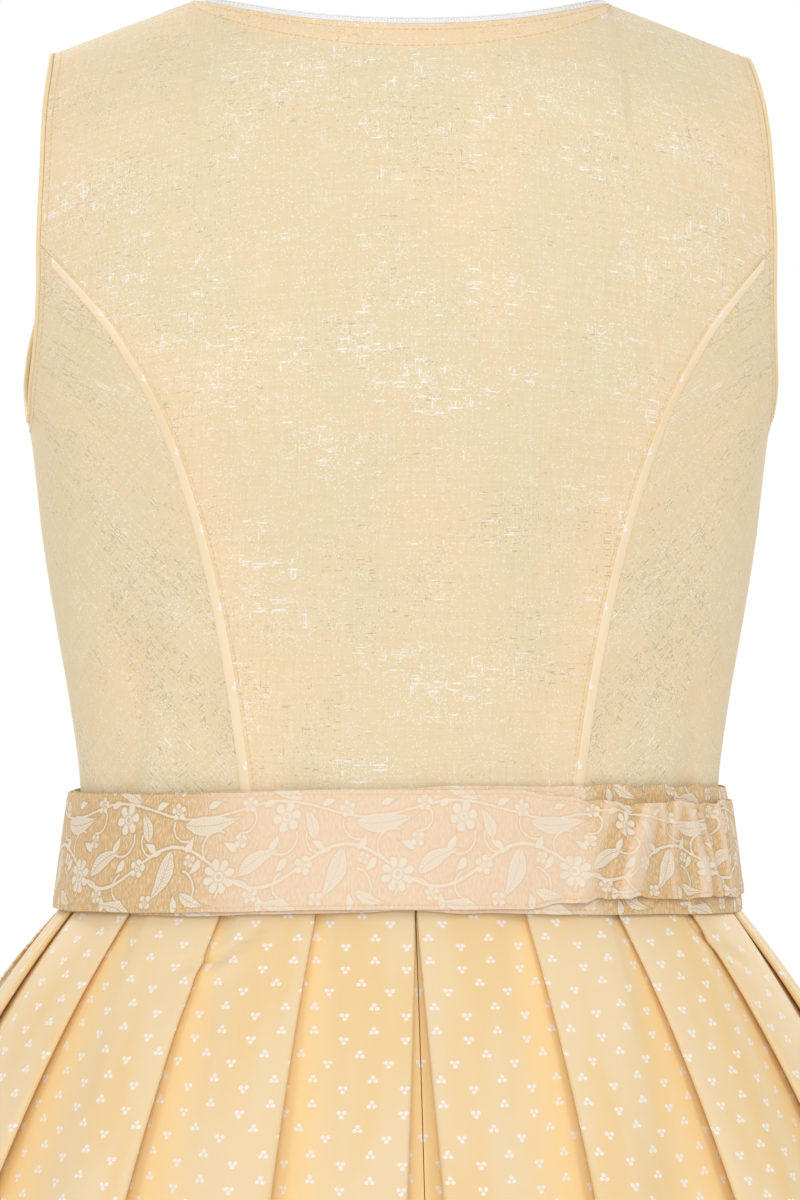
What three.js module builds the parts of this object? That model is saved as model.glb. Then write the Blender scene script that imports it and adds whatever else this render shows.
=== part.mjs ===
// A dirndl dress in its worn, hollow form: sleeveless bodice, knife-pleated skirt, gathered apron
// and the apron's ties, which cross behind the waist and meet in a bow at the wearer's left front.
// Units are millimetres. +Z is up, the front faces -Y and the wearer's left is +X.
// The origin lies midway between the two shoulder straps, at the height of their middle.
import * as THREE from "three";

// Driving dimensions
const clothWall = 1.0;
const bodiceWall = 1.2;
const seamGap = 0.4;
const waistSeamZ = -372;
const skirtLength = 700;
const hemZ = waistSeamZ - skirtLength;
const bandTopZ = -351;
const bandBottomZ = -405;
const apronShorterBy = 38;
const neckPoint = { x: 96, z: 11.5 };
const shoulderPoint = { x: 159.0, z: -12.5 };
const underarmZ = -183;
const shoulderRoll = 60;
const ridgeRounding = 40;
const backNeckDip = 14.2;
const backNeckPower = 2.2;
const frontNeckDepth = 128;
const frontNeckPower = 2.6;
const frontEdgeX = 8;

// The figure that fills the dress: half width, depths from the side plane and roundness powers
const figure = [
  { z: 60, halfWidth: 194, back: 50, front: 36, backPower: 2.2, frontPower: 2.2 },
  { z: 0, halfWidth: 194, back: 70, front: 48, backPower: 2.2, frontPower: 2.2 },
  { z: -40, halfWidth: 193, back: 88, front: 66, backPower: 2.2, frontPower: 2.2 },
  { z: -80, halfWidth: 191, back: 100, front: 89, backPower: 2.2, frontPower: 2.25 },
  { z: -120, halfWidth: 185.5, back: 107.5, front: 113, backPower: 2.2, frontPower: 2.3 },
  { z: -162, halfWidth: 177, back: 110, front: 132, backPower: 2.2, frontPower: 2.4 },
  { z: -183, halfWidth: 171, back: 109.5, front: 137, backPower: 2.2, frontPower: 2.4 },
  { z: -205, halfWidth: 168, back: 107.5, front: 137, backPower: 2.15, frontPower: 2.35 },
  { z: -236, halfWidth: 164.6, back: 103.5, front: 131, backPower: 2.1, frontPower: 2.2 },
  { z: -273, halfWidth: 158.8, back: 99, front: 120, backPower: 2.05, frontPower: 2.1 },
  { z: -310, halfWidth: 152.4, back: 95.5, front: 111, backPower: 2, frontPower: 2 },
  { z: -347, halfWidth: 147.6, back: 94, front: 107, backPower: 2, frontPower: 2 },
  { z: -372, halfWidth: 148.2, back: 95.5, front: 108, backPower: 2, frontPower: 2 },
];

// Seam and armhole lines of the bodice, as distances from the centre plane
const backPrincess = [
  { z: -372, x: 70 }, { z: -300, x: 79.5 }, { z: -235, x: 93 }, { z: -180, x: 111.5 },
  { z: -142, x: 132.5 }, { z: -122, x: 148.5 }, { z: -102, x: 166.5 },
];
const backArmhole = [
  { z: -102, x: 166.5 }, { z: -70, x: 164.8 }, { z: -40, x: 163.0 }, { z: -12.5, x: 159.0 },
];
const frontPrincess = [
  { z: -372, x: 60 }, { z: -330, x: 66 }, { z: -260, x: 80 }, { z: -200, x: 92 },
  { z: -150, x: 108 }, { z: -120, x: 128 }, { z: -98, x: 150 },
];
const frontArmhole = [
  { z: -98, x: 150 }, { z: -70, x: 148.6 }, { z: -40, x: 151.2 }, { z: -12.5, x: 159.0 },
];

// The skirt's middle line at the waist seam and under the band, and how it flares below
const skirtWaist = { halfWidth: 146.4, back: 93.4, front: 105.8 };
const skirtHip = { halfWidth: 154.2, back: 102, front: 113 };
const flare = {
  fall: 110, side: 0.31, sideEarly: 0.5, back: 0.31, backEarly: 0.28, front: 0.28, frontEarly: 0.24,
};

// How the pleats open from waist to hem. fold is the underlay as a share of the pleat's width,
// height the distance from the outer folds to the inner ones, turn the radius of a fold, and
// gape and underlay the half opening and hidden depth of the inverted pleat at the centre back.
const pleatRows = [
  { z: -372, fold: 0.8, height: 3.2, turn: 0.8, gape: 0.7, underlay: 34 },
  { z: -405, fold: 0.76, height: 3.4, turn: 0.85, gape: 1, underlay: 33 },
  { z: -450, fold: 0.56, height: 5.4, turn: 1.2, gape: 3.4, underlay: 28 },
  { z: -520, fold: 0.34, height: 9, turn: 2, gape: 7.6, underlay: 21 },
  { z: -620, fold: 0.13, height: 15, turn: 3.4, gape: 13, underlay: 12 },
  { z: -760, fold: -0.08, height: 22, turn: 5.5, gape: 20, underlay: 1 },
  { z: -910, fold: -0.23, height: 28, turn: 8, gape: 26, underlay: -7 },
  { z: hemZ, fold: -0.3, height: 32, turn: 10, gape: 31, underlay: -12 },
];
// Where the outer folds stand, as shares of the way from the centre back to the centre front
const pleatsLeft = [0.11, 0.217, 0.332, 0.443, 0.55, 0.66, 0.77, 0.885];
const pleatsRight = [0.123, 0.233, 0.337, 0.433, 0.545, 0.66, 0.77, 0.885];
const sideSeamPleat = 4;
const closedFold = 0.35;

// The apron and its ties
const bandTop = { halfWidth: 149.6, back: 96.6, front: 109.4 };
const bandBottom = { halfWidth: 157.2, back: 105.4, front: 116.2 };
const bandTilt = 5;
const tieWall = 1.1;
const tieGap = 0.5;
const bandEnd = 0.6;
const bowAt = 0.905;
const bowGap = 0.022;
const apronEdge = 0.575;
const apronGathers = 20;
const apronRows = [
  { z: -407.2, wave: 1.7, lift: 0 }, { z: -440, wave: 3.6, lift: 1 }, { z: -520, wave: 5, lift: 2 },
  { z: -640, wave: 6.2, lift: 3 }, { z: -780, wave: 7.4, lift: 4 }, { z: -920, wave: 8.6, lift: 4 },
  { z: hemZ + apronShorterBy, wave: 9.4, lift: 4 },
];
// Creases of the upper tie near the wearer's right side: place, lean, width and height
const tieCreases = [
  { at: -0.155, lean: 0.028, width: 0.012, height: 3.2 },
  { at: -0.205, lean: 0.034, width: 0.011, height: 3.6 },
  { at: -0.262, lean: 0.02, width: 0.012, height: 2.8 },
  { at: -0.318, lean: 0.012, width: 0.014, height: 3 },
  { at: -0.38, lean: 0.01, width: 0.013, height: 2.2 },
];
const creaseStart = -0.12;
const creaseEnd = -0.42;
// How far the upper tie's edges lie inside the band's, and the lower tie's reach past them
const tieInset = { wide: 0.5, drawnLow: 6, drawnHigh: 5 };
const underTieReach = 1.5;

// Trims and buttons
const pipingWidth = 4.6;
const pipingWall = 0.9;
const pipingLift = 0.35;
const edgingRadius = 1.3;
const neckTrimRadius = 1.5;
const trimEndInset = 0.6;
const buttonCount = 7;
const buttonRadius = 5.5;
const buttonHeight = 2.6;
const buttonTopZ = -134;
const buttonBottomZ = -342;
const buttonSides = 10;

// How finely the pieces are divided
const seamRows = 7;
const closingRows = 5;
const armholeRows = 6;
const frontColumns = 8;
const neckSteps = 6;
const shoulderSteps = 2;
const neckShare = neckPoint.x / shoulderPoint.x;
const sideColumns = 6;
const tubeSides = 6;
const skirtHeights = [waistSeamZ - 0.5, -388, -405, -432, -475, -540, -640, -780, -920, hemZ];
const apronStepsPerGather = 4;

// Colours
const finishes = {
  bodice: { color: 0xecdcba, roughness: 0.62, metalness: 0.0 },
  print: { color: 0xf5dca4, roughness: 0.6, metalness: 0.0 },
  brocade: { color: 0xeecfa4, roughness: 0.5, metalness: 0.0 },
  trim: { color: 0xf4f2ee, roughness: 0.7, metalness: 0.0 },
  button: { color: 0xe9d6a8, roughness: 0.45, metalness: 0.0 },
};

const mix = (a, b, share) => a + (b - a) * share;
const clamp = (value, low, high) => Math.min(Math.max(value, low), high);
const evenly = (from, to, steps) => Array.from({ length: steps + 1 }, (_, i) => mix(from, to, i / steps));

// The value of one column of a table at a height, on a smooth line through its rows
function readRow(rows, z, column) {
  const rising = rows[0].z < rows[rows.length - 1].z;
  const at = (i) => rows[clamp(i, 0, rows.length - 1)];
  const last = rows.length - 1;
  let i = 0;
  while (i < last - 1 && (rising ? z > at(i + 1).z : z < at(i + 1).z)) i += 1;
  const share = clamp((z - at(i).z) / (at(i + 1).z - at(i).z), 0, 1);
  const slope = (k) => {
    const low = at(Math.max(k - 1, 0));
    const high = at(Math.min(k + 1, last));
    return ((high[column] - low[column]) / (high.z - low.z)) * (at(i + 1).z - at(i).z);
  };
  const squared = share * share;
  const cubed = squared * share;
  return at(i)[column] * (2 * cubed - 3 * squared + 1) + slope(i) * (cubed - 2 * squared + share)
    + at(i + 1)[column] * (3 * squared - 2 * cubed) + slope(i + 1) * (cubed - squared);
}

// A closed body between two grids of points, with a rim along all four edges
function wallBetween(outer, inner) {
  const rows = outer.length;
  const columns = outer[0].length;
  const positions = [];
  for (const p of [...outer, ...inner].flat()) positions.push(p.x, p.y, p.z);
  const faces = [];
  const quad = (a, b, c, d) => faces.push(a, b, c, a, c, d);
  const out = (j, i) => j * columns + i;
  const within = (j, i) => rows * columns + j * columns + i;
  for (let j = 0; j < rows - 1; j += 1) {
    for (let i = 0; i < columns - 1; i += 1) {
      quad(out(j, i), out(j, i + 1), out(j + 1, i + 1), out(j + 1, i));
      quad(within(j, i), within(j + 1, i), within(j + 1, i + 1), within(j, i + 1));
    }
  }
  for (let i = 0; i < columns - 1; i += 1) {
    quad(out(0, i), within(0, i), within(0, i + 1), out(0, i + 1));
    quad(out(rows - 1, i), out(rows - 1, i + 1), within(rows - 1, i + 1), within(rows - 1, i));
  }
  for (let j = 0; j < rows - 1; j += 1) {
    quad(out(j, 0), out(j + 1, 0), within(j + 1, 0), within(j, 0));
    quad(out(j, columns - 1), within(j, columns - 1), within(j + 1, columns - 1), out(j + 1, columns - 1));
  }
  return closedGeometry(positions, faces);
}

// A tube through given centres, with the two directions of its section at each one
function tubeAlong(frames, radius, ring) {
  const positions = [];
  const faces = [];
  for (const { centre, out, normal } of frames) {
    for (let i = 0; i < tubeSides; i += 1) {
      const angle = (i / tubeSides) * 2 * Math.PI;
      const p = centre.clone().addScaledVector(out, radius * Math.cos(angle));
      p.addScaledVector(normal, radius * Math.sin(angle));
      positions.push(p.x, p.y, p.z);
    }
  }
  const count = frames.length;
  for (let k = 0; k < (ring ? count : count - 1); k += 1) {
    const next = (k + 1) % count;
    for (let i = 0; i < tubeSides; i += 1) {
      const side = (i + 1) % tubeSides;
      faces.push(k * tubeSides + i, k * tubeSides + side, next * tubeSides + side);
      faces.push(k * tubeSides + i, next * tubeSides + side, next * tubeSides + i);
    }
  }
  if (!ring) {
    const base = (count - 1) * tubeSides;
    for (let i = 1; i < tubeSides - 1; i += 1) {
      faces.push(0, i + 1, i);
      faces.push(base, base + i, base + i + 1);
    }
  }
  return closedGeometry(positions, faces);
}

// Indexed triangles turned so that they enclose a positive volume
function closedGeometry(positions, faces) {
  const at = (i) => new THREE.Vector3().fromArray(positions, 3 * i);
  let volume = 0;
  for (let k = 0; k < faces.length; k += 3) {
    volume += at(faces[k]).dot(at(faces[k + 1]).cross(at(faces[k + 2])));
  }
  if (volume < 0) {
    for (let k = 0; k < faces.length; k += 3) [faces[k + 1], faces[k + 2]] = [faces[k + 2], faces[k + 1]];
  }
  const geometry = new THREE.BufferGeometry();
  geometry.setAttribute("position", new THREE.Float32BufferAttribute(positions, 3));
  geometry.setIndex(faces);
  geometry.computeVertexNormals();
  return geometry;
}

const moved = (grid, normals, distance) =>
  grid.map((row, j) => row.map((p, i) => p.clone().addScaledVector(normals[j][i], distance)));

// The bodice surface
const ridgeRun = (x) => Math.hypot(x, ridgeRounding) - Math.hypot(neckPoint.x, ridgeRounding);
const ridgeSlope = (neckPoint.z - shoulderPoint.z) / ridgeRun(shoulderPoint.x);
const ridgeZ = (x) => neckPoint.z - ridgeSlope * ridgeRun(x);

// Height above the shoulder's roll, measured along the cloth, and back again
function unrolled(z, x) {
  const low = ridgeZ(x) - shoulderRoll;
  return z < low ? z - low : shoulderRoll * Math.asin(clamp((z - low) / shoulderRoll, 0, 1));
}
function rolled(length, x) {
  const low = ridgeZ(x) - shoulderRoll;
  const turn = Math.min(length / shoulderRoll, Math.PI / 2);
  return length < 0 ? low + length : low + shoulderRoll * Math.sin(turn);
}

const shapeAt = (z, side) => ({
  halfWidth: readRow(figure, z, "halfWidth"),
  depth: readRow(figure, z, side > 0 ? "back" : "front"),
  power: readRow(figure, z, side > 0 ? "backPower" : "frontPower"),
});
const shoulderFall = (x, z) => 1 - Math.min((ridgeZ(x) - z) / shoulderRoll, 1);

// A point of the bodice's outer face; side is 1 for the back and -1 for the front
function bodicePoint(x, z, side) {
  const { halfWidth, depth, power } = shapeAt(z, side);
  const share = Math.min(Math.abs(x) / halfWidth, 1);
  const fall = Math.min(shoulderFall(x, z), 1);
  const y = side * depth * (1 - share ** power) ** (1 / power) * Math.sqrt(1 - fall * fall);
  return new THREE.Vector3(x, y, z);
}

// The face's own equation: zero on it and more than zero outside
function faceValue({ x, y, z }, side) {
  const { halfWidth, depth, power } = shapeAt(z, side);
  const share = Math.abs(x) / halfWidth;
  const fall = shoulderFall(x, z);
  if (fall <= 0) return share ** power + (Math.abs(y) / depth) ** power - 1;
  return (y / depth) ** 2 / (1 - share ** power) ** (2 / power) + fall * fall - 1;
}
const slopeStep = 0.05;
function bodiceNormal(point, side) {
  const slope = (axis) => {
    const [above, below] = [slopeStep, -slopeStep].map((step) => {
      const p = point.clone();
      p[axis] += step;
      return faceValue(p, side);
    });
    return above - below;
  };
  return new THREE.Vector3(slope("x"), slope("y"), slope("z")).normalize();
}

// A panel's grid with its normals; the front and the back stand half a seam gap apart
function panelGrid(grid, side, sign) {
  const normals = grid.map((row) => row.map((p) => bodiceNormal(p, side)));
  for (const row of grid) for (const p of row) p.y += side * seamGap / 2;
  for (const list of [grid, normals]) for (const row of list) for (const p of row) p.x *= sign;
  return { grid, normals };
}

const lineX = (princess, armhole, z) =>
  (z < princess.at(-1).z ? readRow(princess, z, "x") : readRow(armhole, z, "x"));

// The outer edge of a panel that reaches the shoulder: up its princess seam and its armhole
function outerEdge(princess, armhole) {
  const corner = princess.at(-1);
  const edge = evenly(waistSeamZ, corner.z, seamRows).map((z) => ({ z, x: lineX(princess, armhole, z) }));
  const cornerLength = unrolled(corner.z, corner.x);
  const topLength = unrolled(shoulderPoint.z, shoulderPoint.x);
  for (const length of evenly(cornerLength, topLength, armholeRows).slice(1)) {
    let x = corner.x;
    for (let pass = 0; pass < 4; pass += 1) x = lineX(princess, armhole, rolled(length, x));
    edge.push({ z: rolled(length, x), x });
  }
  return edge.map(({ x, z }, j) => {
    const length = unrolled(z, x);
    const innerX = x - seamGap / 2;
    return { x: innerX, z: j > seamRows ? rolled(length, innerX) : z, length };
  });
}

// The centre back, whose upper edge dips at the neck
function backPanel() {
  const edge = outerEdge(backPrincess, backArmhole);
  const first = edge[0];
  const last = edge.at(-1);
  const grid = edge.map(({ x: edgeX, z: edgeZ, length: edgeLength }) => {
    const v = (edgeLength - first.length) / (last.length - first.length);
    const bulge = edgeX - mix(first.x, last.x, v);
    return backShares.map((u) => {
      const size = Math.abs(u);
      const top = backTop(size);
      const x = mix(size * first.x, top.x, v) + size * bulge;
      const length = mix(unrolled(waistSeamZ, size * first.x), unrolled(top.z, top.x), v);
      const point = bodicePoint(x, size === 1 ? edgeZ : rolled(length, x), 1);
      if (u < 0) point.x *= -1;
      return point;
    });
  });
  return panelGrid(grid, 1, 1);
}

// A front, from its centre edge and the neckline out to the princess seam and the armhole. The
// wearer's right front reaches past the centre to carry the buttons.
function frontPanel(sign) {
  const edgeX = sign > 0 ? frontEdgeX + seamGap / 2 : seamGap / 2 - frontEdgeX;
  const innerEdge = [
    ...evenly(waistSeamZ, neckPoint.z - frontNeckDepth, closingRows).map((z) => ({ x: edgeX, z })),
    ...evenly(0, Math.PI / 2, seamRows + armholeRows - closingRows).slice(1).map((turn) => ({
      x: edgeX + (neckPoint.x - edgeX) * Math.sin(turn) ** (2 / frontNeckPower),
      z: neckPoint.z - frontNeckDepth * Math.cos(turn) ** (2 / frontNeckPower),
    })),
  ];
  const grid = outerEdge(frontPrincess, frontArmhole).map((outer, j) => {
    const inner = innerEdge[j];
    const innerLength = unrolled(inner.z, inner.x);
    return evenly(0, 1, frontColumns).map((u) => {
      const x = mix(inner.x, outer.x, u);
      const z = u === 1 ? outer.z : rolled(mix(innerLength, outer.length, u), x);
      const point = bodicePoint(Math.abs(x), z, -1);
      point.x *= Math.sign(x);
      return point;
    });
  });
  return panelGrid(grid, -1, sign);
}

// Points of a side panel, from its princess seam to the side seam and up to the armhole
function sidePanel({ side, princess, sign }) {
  const corner = princess.at(-1);
  const cornerY = Math.abs(bodicePoint(corner.x, corner.z, side).y);
  const seamAngle = (z) => {
    const { halfWidth } = shapeAt(z, side);
    return Math.asin(Math.min((readRow(princess, z, "x") + seamGap / 2) / halfWidth, 1));
  };
  const top = (u) => {
    const z = mix(corner.z, underarmZ, Math.sin(u * Math.PI / 2));
    const { depth, power } = shapeAt(z, side);
    const share = Math.min((cornerY * Math.cos(u * Math.PI / 2)) / depth, 1);
    return { z, angle: Math.asin((1 - share ** power) ** (1 / power)) };
  };
  const seam = (share) => seamAngle(mix(waistSeamZ, corner.z, share));
  const grid = evenly(0, 1, seamRows).map((v) => {
    const bend = seam(v) - mix(seam(0), seam(1), v);
    return evenly(0, 1, sideColumns).map((u) => {
      const z = mix(waistSeamZ, top(u).z, v);
      const angle = mix(mix(seam(0), Math.PI / 2, u), Math.max(top(u).angle, seam(1)), v) + (1 - u) * bend;
      const x = shapeAt(z, side).halfWidth * Math.sin(Math.min(angle, Math.PI / 2));
      return bodicePoint(x, z, side);
    });
  });
  return panelGrid(grid, side, sign);
}

// The upper edge of the back, for a share from 0 at the centre to 1 at the shoulder point
function backTop(u) {
  const x = u * shoulderPoint.x;
  if (u >= neckShare) return { x, z: ridgeZ(x) };
  return { x, z: neckPoint.z - backNeckDip * (1 - (u / neckShare) ** backNeckPower) };
}

const halfShares = [...evenly(0, neckShare, neckSteps), ...evenly(neckShare, 1, shoulderSteps).slice(1)];
const backShares = [...halfShares.slice(1).reverse().map((u) => -u), ...halfShares];
const backCentre = backPanel();
const panels = {
  back_centre: backCentre,
  back_side_left: sidePanel({ side: 1, princess: backPrincess, sign: 1 }),
  back_side_right: sidePanel({ side: 1, princess: backPrincess, sign: -1 }),
  front_left: frontPanel(1),
  front_right: frontPanel(-1),
  front_side_left: sidePanel({ side: -1, princess: frontPrincess, sign: 1 }),
  front_side_right: sidePanel({ side: -1, princess: frontPrincess, sign: -1 }),
};
const panelWall = ({ grid, normals }) => wallBetween(grid, moved(grid, normals, -bodiceWall));

// Edge trims follow the panels' edges, just past them. A run holds the edge's points, the
// surface's normals there and the points just inside the edge.
const sideRun = ({ grid, normals }, edge, inside) =>
  grid.map((row, j) => ({ p: row.at(edge), normal: normals[j].at(edge), inner: row.at(inside) }));
const topRun = ({ grid, normals }) =>
  grid.at(-1).map((p, i) => ({ p, normal: normals.at(-1)[i], inner: grid.at(-2)[i] }));

function trimTube(run, radius, ring) {
  const last = run.length - 1;
  const frames = run.map(({ p, normal, inner }, k) => {
    const before = run[ring ? (k + last) % run.length : Math.max(k - 1, 0)].p;
    const after = run[ring ? (k + 1) % run.length : Math.min(k + 1, last)].p;
    const along = after.clone().sub(before).normalize();
    const out = along.clone().cross(normal).normalize();
    if (out.dot(p.clone().sub(inner)) < 0) out.negate();
    const centre = p.clone().addScaledVector(out, radius + seamGap).addScaledVector(normal, -bodiceWall / 2);
    // An open trim's two ends stop short of each other
    if (before === p) centre.addScaledVector(along, trimEndInset);
    if (after === p) centre.addScaledVector(along, -trimEndInset);
    return { centre, out, normal };
  });
  return tubeAlong(frames, radius, ring);
}

function armholeTube(side) {
  const sign = side === "left" ? 1 : -1;
  const back = sideRun(backCentre, sign > 0 ? -1 : 0, sign > 0 ? -2 : 1).slice(seamRows + 1);
  const front = sideRun(panels[`front_${side}`], -1, -2).slice(seamRows + 1, -1);
  const backLow = topRun(panels[`back_side_${side}`]).slice(1, -1);
  const frontLow = topRun(panels[`front_side_${side}`]).slice(1, -1);
  return trimTube([...back.reverse(), ...backLow, ...frontLow.reverse(), ...front], edgingRadius, true);
}

function neckTube() {
  const left = sideRun(panels.front_left, 0, 1).slice(closingRows, -1);
  const right = sideRun(panels.front_right, 0, 1).slice(closingRows, -1);
  const back = topRun(backCentre).slice(shoulderSteps, -shoulderSteps);
  return trimTube([...right, ...back, ...left.reverse()], neckTrimRadius, false);
}

// A flat strip of piping on the side panel, beside the princess seam
function pipingStrip(side) {
  const { grid, normals } = panels[`back_side_${side}`];
  const strip = grid.slice(0, -1).map((row, j) => {
    const step = row[1].clone().sub(row[0]);
    const share = Math.min(pipingWidth / step.length(), 1);
    return [0, 0.5, 1].map((k) =>
      row[0].clone().addScaledVector(step, share * k).addScaledVector(normals[j][0], pipingLift));
  });
  const lifted = strip.map((row, j) => row.map((p) => p.clone().addScaledVector(normals[j][0], pipingWall)));
  return wallBetween(lifted, strip);
}

// Horizontal rings of the skirt and the band
function skirtRing(z) {
  const below = Math.max(bandBottomZ - z, 0);
  const early = flare.fall * (1 - Math.exp(-below / flare.fall));
  const share = clamp((waistSeamZ - z) / (waistSeamZ - bandBottomZ), 0, 1);
  const size = (column, slope, earlySlope) =>
    mix(skirtWaist[column], skirtHip[column], share) + slope * below + earlySlope * early;
  return {
    halfWidth: size("halfWidth", flare.side, flare.sideEarly),
    back: size("back", flare.back, flare.backEarly),
    front: size("front", flare.front, flare.frontEarly),
  };
}
function bandRing(z) {
  const share = (bandTopZ - z) / (bandTopZ - bandBottomZ);
  const at = (column) => mix(bandTop[column], bandBottom[column], share);
  return { halfWidth: at("halfWidth"), back: at("back"), front: at("front") };
}

// A half ring from the centre back over the wearer's left side to the centre front, by its length
const ringSamples = 160;
function measuredRing(ring, z) {
  const at = (angle) => {
    const depth = Math.cos(angle) > 0 ? ring.back : ring.front;
    return new THREE.Vector3(ring.halfWidth * Math.sin(angle), depth * Math.cos(angle), z);
  };
  const lengths = [0];
  for (let k = 1; k <= ringSamples; k += 1) {
    const step = at((k / ringSamples) * Math.PI).distanceTo(at(((k - 1) / ringSamples) * Math.PI));
    lengths.push(lengths[k - 1] + step);
  }
  const total = lengths[ringSamples];
  const angleAt = (length) => {
    let k = 1;
    while (k < ringSamples && lengths[k] < length) k += 1;
    return ((k - 1 + (length - lengths[k - 1]) / (lengths[k] - lengths[k - 1])) / ringSamples) * Math.PI;
  };
  // The point at a length along the ring, moved out by a distance; a negative length is on the right
  const point = (length, out) => {
    const wrapped = Math.abs(length) > total ? Math.sign(length) * (2 * total - Math.abs(length)) : length;
    const turned = Math.abs(length) > total ? -1 : 1;
    const angle = angleAt(Math.abs(wrapped));
    const depth = Math.cos(angle) > 0 ? ring.back : ring.front;
    const p = at(angle);
    const nx = Math.sin(angle) / ring.halfWidth;
    const ny = Math.cos(angle) / depth;
    const scale = out / Math.hypot(nx, ny);
    return new THREE.Vector3(turned * Math.sign(length || 1) * (p.x + nx * scale), p.y + ny * scale, z);
  };
  return { total, point };
}

const halfway = (a, b) => ({ x: (a.x + b.x) / 2, y: (a.y + b.y) / 2 });

// One half of the skirt as folds: points of length along the ring and distance out of it
function pleatedLine(z, folds, total) {
  const fold = readRow(pleatRows, z, "fold");
  const height = readRow(pleatRows, z, "height");
  const turn = readRow(pleatRows, z, "turn");
  const gape = readRow(pleatRows, z, "gape");
  const crests = [gape, ...folds.map((share) => share * total)];
  const half = height / 2;
  const troughs = crests.map((crest, i) => {
    if (i === 0) return crest + readRow(pleatRows, z, "underlay");
    return crest + fold * (crest - crests[i - 1]);
  });
  const crestAt = (i) => ({ x: crests[i] + turn, y: half - turn });
  const troughAt = (i) => ({ x: troughs[i] - turn, y: turn - half });
  const arc = (centre, from, to) => [0, 0.5, 1].map((share) => {
    const angle = mix(from, to, share);
    return { x: centre.x + turn * Math.cos(angle), y: centre.y + turn * Math.sin(angle) };
  });
  const quarter = Math.PI / 2;
  const backLine = [{ x: seamGap / 2, y: -half }, { x: (seamGap / 2 + troughAt(0).x) / 2, y: -half }];
  const frontLine = [];
  let line = backLine;
  let entry = 0;
  for (let i = 0; i < crests.length; i += 1) {
    const trough = troughAt(i);
    const crest = crestAt(i);
    const apart = Math.hypot(crest.x - trough.x, crest.y - trough.y);
    const slant = Math.asin(Math.min((2 * turn) / apart, 1));
    const back = Math.atan2(crest.y - trough.y, crest.x - trough.x) + slant;
    line.push(...arc(trough, entry - quarter, back - quarter));
    const crestArc = arc(crest, back + quarter, 0)[0];
    if (i === sideSeamPleat + 1) line.push(halfway(line.at(-1), crestArc));
    const last = i === crests.length - 1;
    const next = last ? { x: total, y: -half } : troughAt(i + 1);
    const away = Math.hypot(next.x - crest.x, next.y - crest.y);
    const straight = last ? 0 : Math.atan2(next.y - crest.y, next.x - crest.x)
      - Math.asin(Math.min((2 * turn) / away, 1));
    const closed = last ? 1 : clamp(fold / closedFold, 0, 1);
    const leave = mix(straight, 0, closed);
    line.push(...arc(crest, back + quarter, leave + quarter));
    if (last) {
      line.push({ x: mix(crest.x, total, 0.5), y: half }, { x: total - seamGap / 2, y: half });
      break;
    }
    const from = { x: crest.x - turn * Math.sin(straight), y: crest.y + turn * Math.cos(straight) };
    const to = { x: next.x + turn * Math.sin(straight), y: next.y - turn * Math.cos(straight) };
    const shown = {
      x: mix(mix(from.x, to.x, 0.33), troughs[i] + turn * 0.6, closed),
      y: mix(mix(from.y, to.y, 0.33), half, closed),
    };
    if (i === sideSeamPleat + 1) line.push(halfway(line.at(-1), shown));
    line.push(shown);
    line.push({
      x: mix(mix(from.x, to.x, 0.66), crests[i + 1] - turn, closed),
      y: mix(mix(from.y, to.y, 0.66), -half, closed),
    });
    entry = leave;
    if (i === sideSeamPleat) {
      const a = line[line.length - 1];
      const b = arc(next, entry - quarter, entry)[0];
      const reach = Math.hypot(b.x - a.x, b.y - a.y);
      const at = (offset) => ({
        x: mix(a.x, b.x, 0.5 + offset / reach), y: mix(a.y, b.y, 0.5 + offset / reach),
      });
      line.push(at(-seamGap / 2));
      line = frontLine;
      line.push(at(seamGap / 2));
    }
  }
  return { backLine, frontLine };
}

// A line moved to one side by a distance, with its corners mitred up to a limit
const mitreLimit = 1.45;
function besideLine(points, distance) {
  return points.map((p, i) => {
    const before = points[Math.max(i - 1, 0)];
    const after = points[Math.min(i + 1, points.length - 1)];
    const one = { x: p.x - before.x, y: p.y - before.y };
    const two = { x: after.x - p.x, y: after.y - p.y };
    const unit = (d) => { const l = Math.hypot(d.x, d.y) || 1; return { x: d.x / l, y: d.y / l }; };
    const a = i === 0 ? unit(two) : unit(one);
    const b = i === points.length - 1 ? unit(one) : unit(two);
    const across = { x: -(a.y + b.y), y: a.x + b.x };
    const size = Math.hypot(across.x, across.y) || 1;
    const reach = distance * Math.min(2 / size, mitreLimit);
    return { x: p.x + (across.x / size) * reach, y: p.y + (across.y / size) * reach };
  });
}

function skirtPanel(which, sign) {
  const outer = [];
  const inner = [];
  for (const z of skirtHeights) {
    const ring = measuredRing(skirtRing(z), z);
    const line = pleatedLine(z, sign > 0 ? pleatsLeft : pleatsRight, ring.total)[which];
    const place = (points) => points.map((p) => {
      const q = ring.point(p.x, p.y);
      q.x *= sign;
      return q;
    });
    outer.push(place(besideLine(line, clothWall / 2)));
    inner.push(place(besideLine(line, -clothWall / 2)));
  }
  return wallBetween(outer, inner);
}

// The apron hangs in gathers outside the skirt's folds
function apronOut(z, share) {
  const outside = readRow(pleatRows, z, "height") / 2 + clothWall;
  const wave = readRow(apronRows, z, "wave");
  const swing = Math.cos(share * apronGathers * 2 * Math.PI);
  return outside + clothWall / 2 + seamGap + readRow(apronRows, z, "lift") + wave * (1 + swing);
}
function apronWall() {
  const steps = apronGathers * apronStepsPerGather;
  const grids = [clothWall, 0].map((extra) => apronRows.map(({ z }) => {
    const ring = measuredRing(skirtRing(z), z);
    return evenly(0, 1, steps).map((share) => {
      const along = mix(apronEdge, 2 - apronEdge, share) * ring.total;
      return ring.point(along, apronOut(z, share) + extra);
    });
  }));
  return wallBetween(grids[0], grids[1]);
}

// The ties run a little higher behind than at the sides
const tiltAt = (share) => bandTilt * Math.max(Math.cos(share * Math.PI), 0) ** 2;

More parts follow.
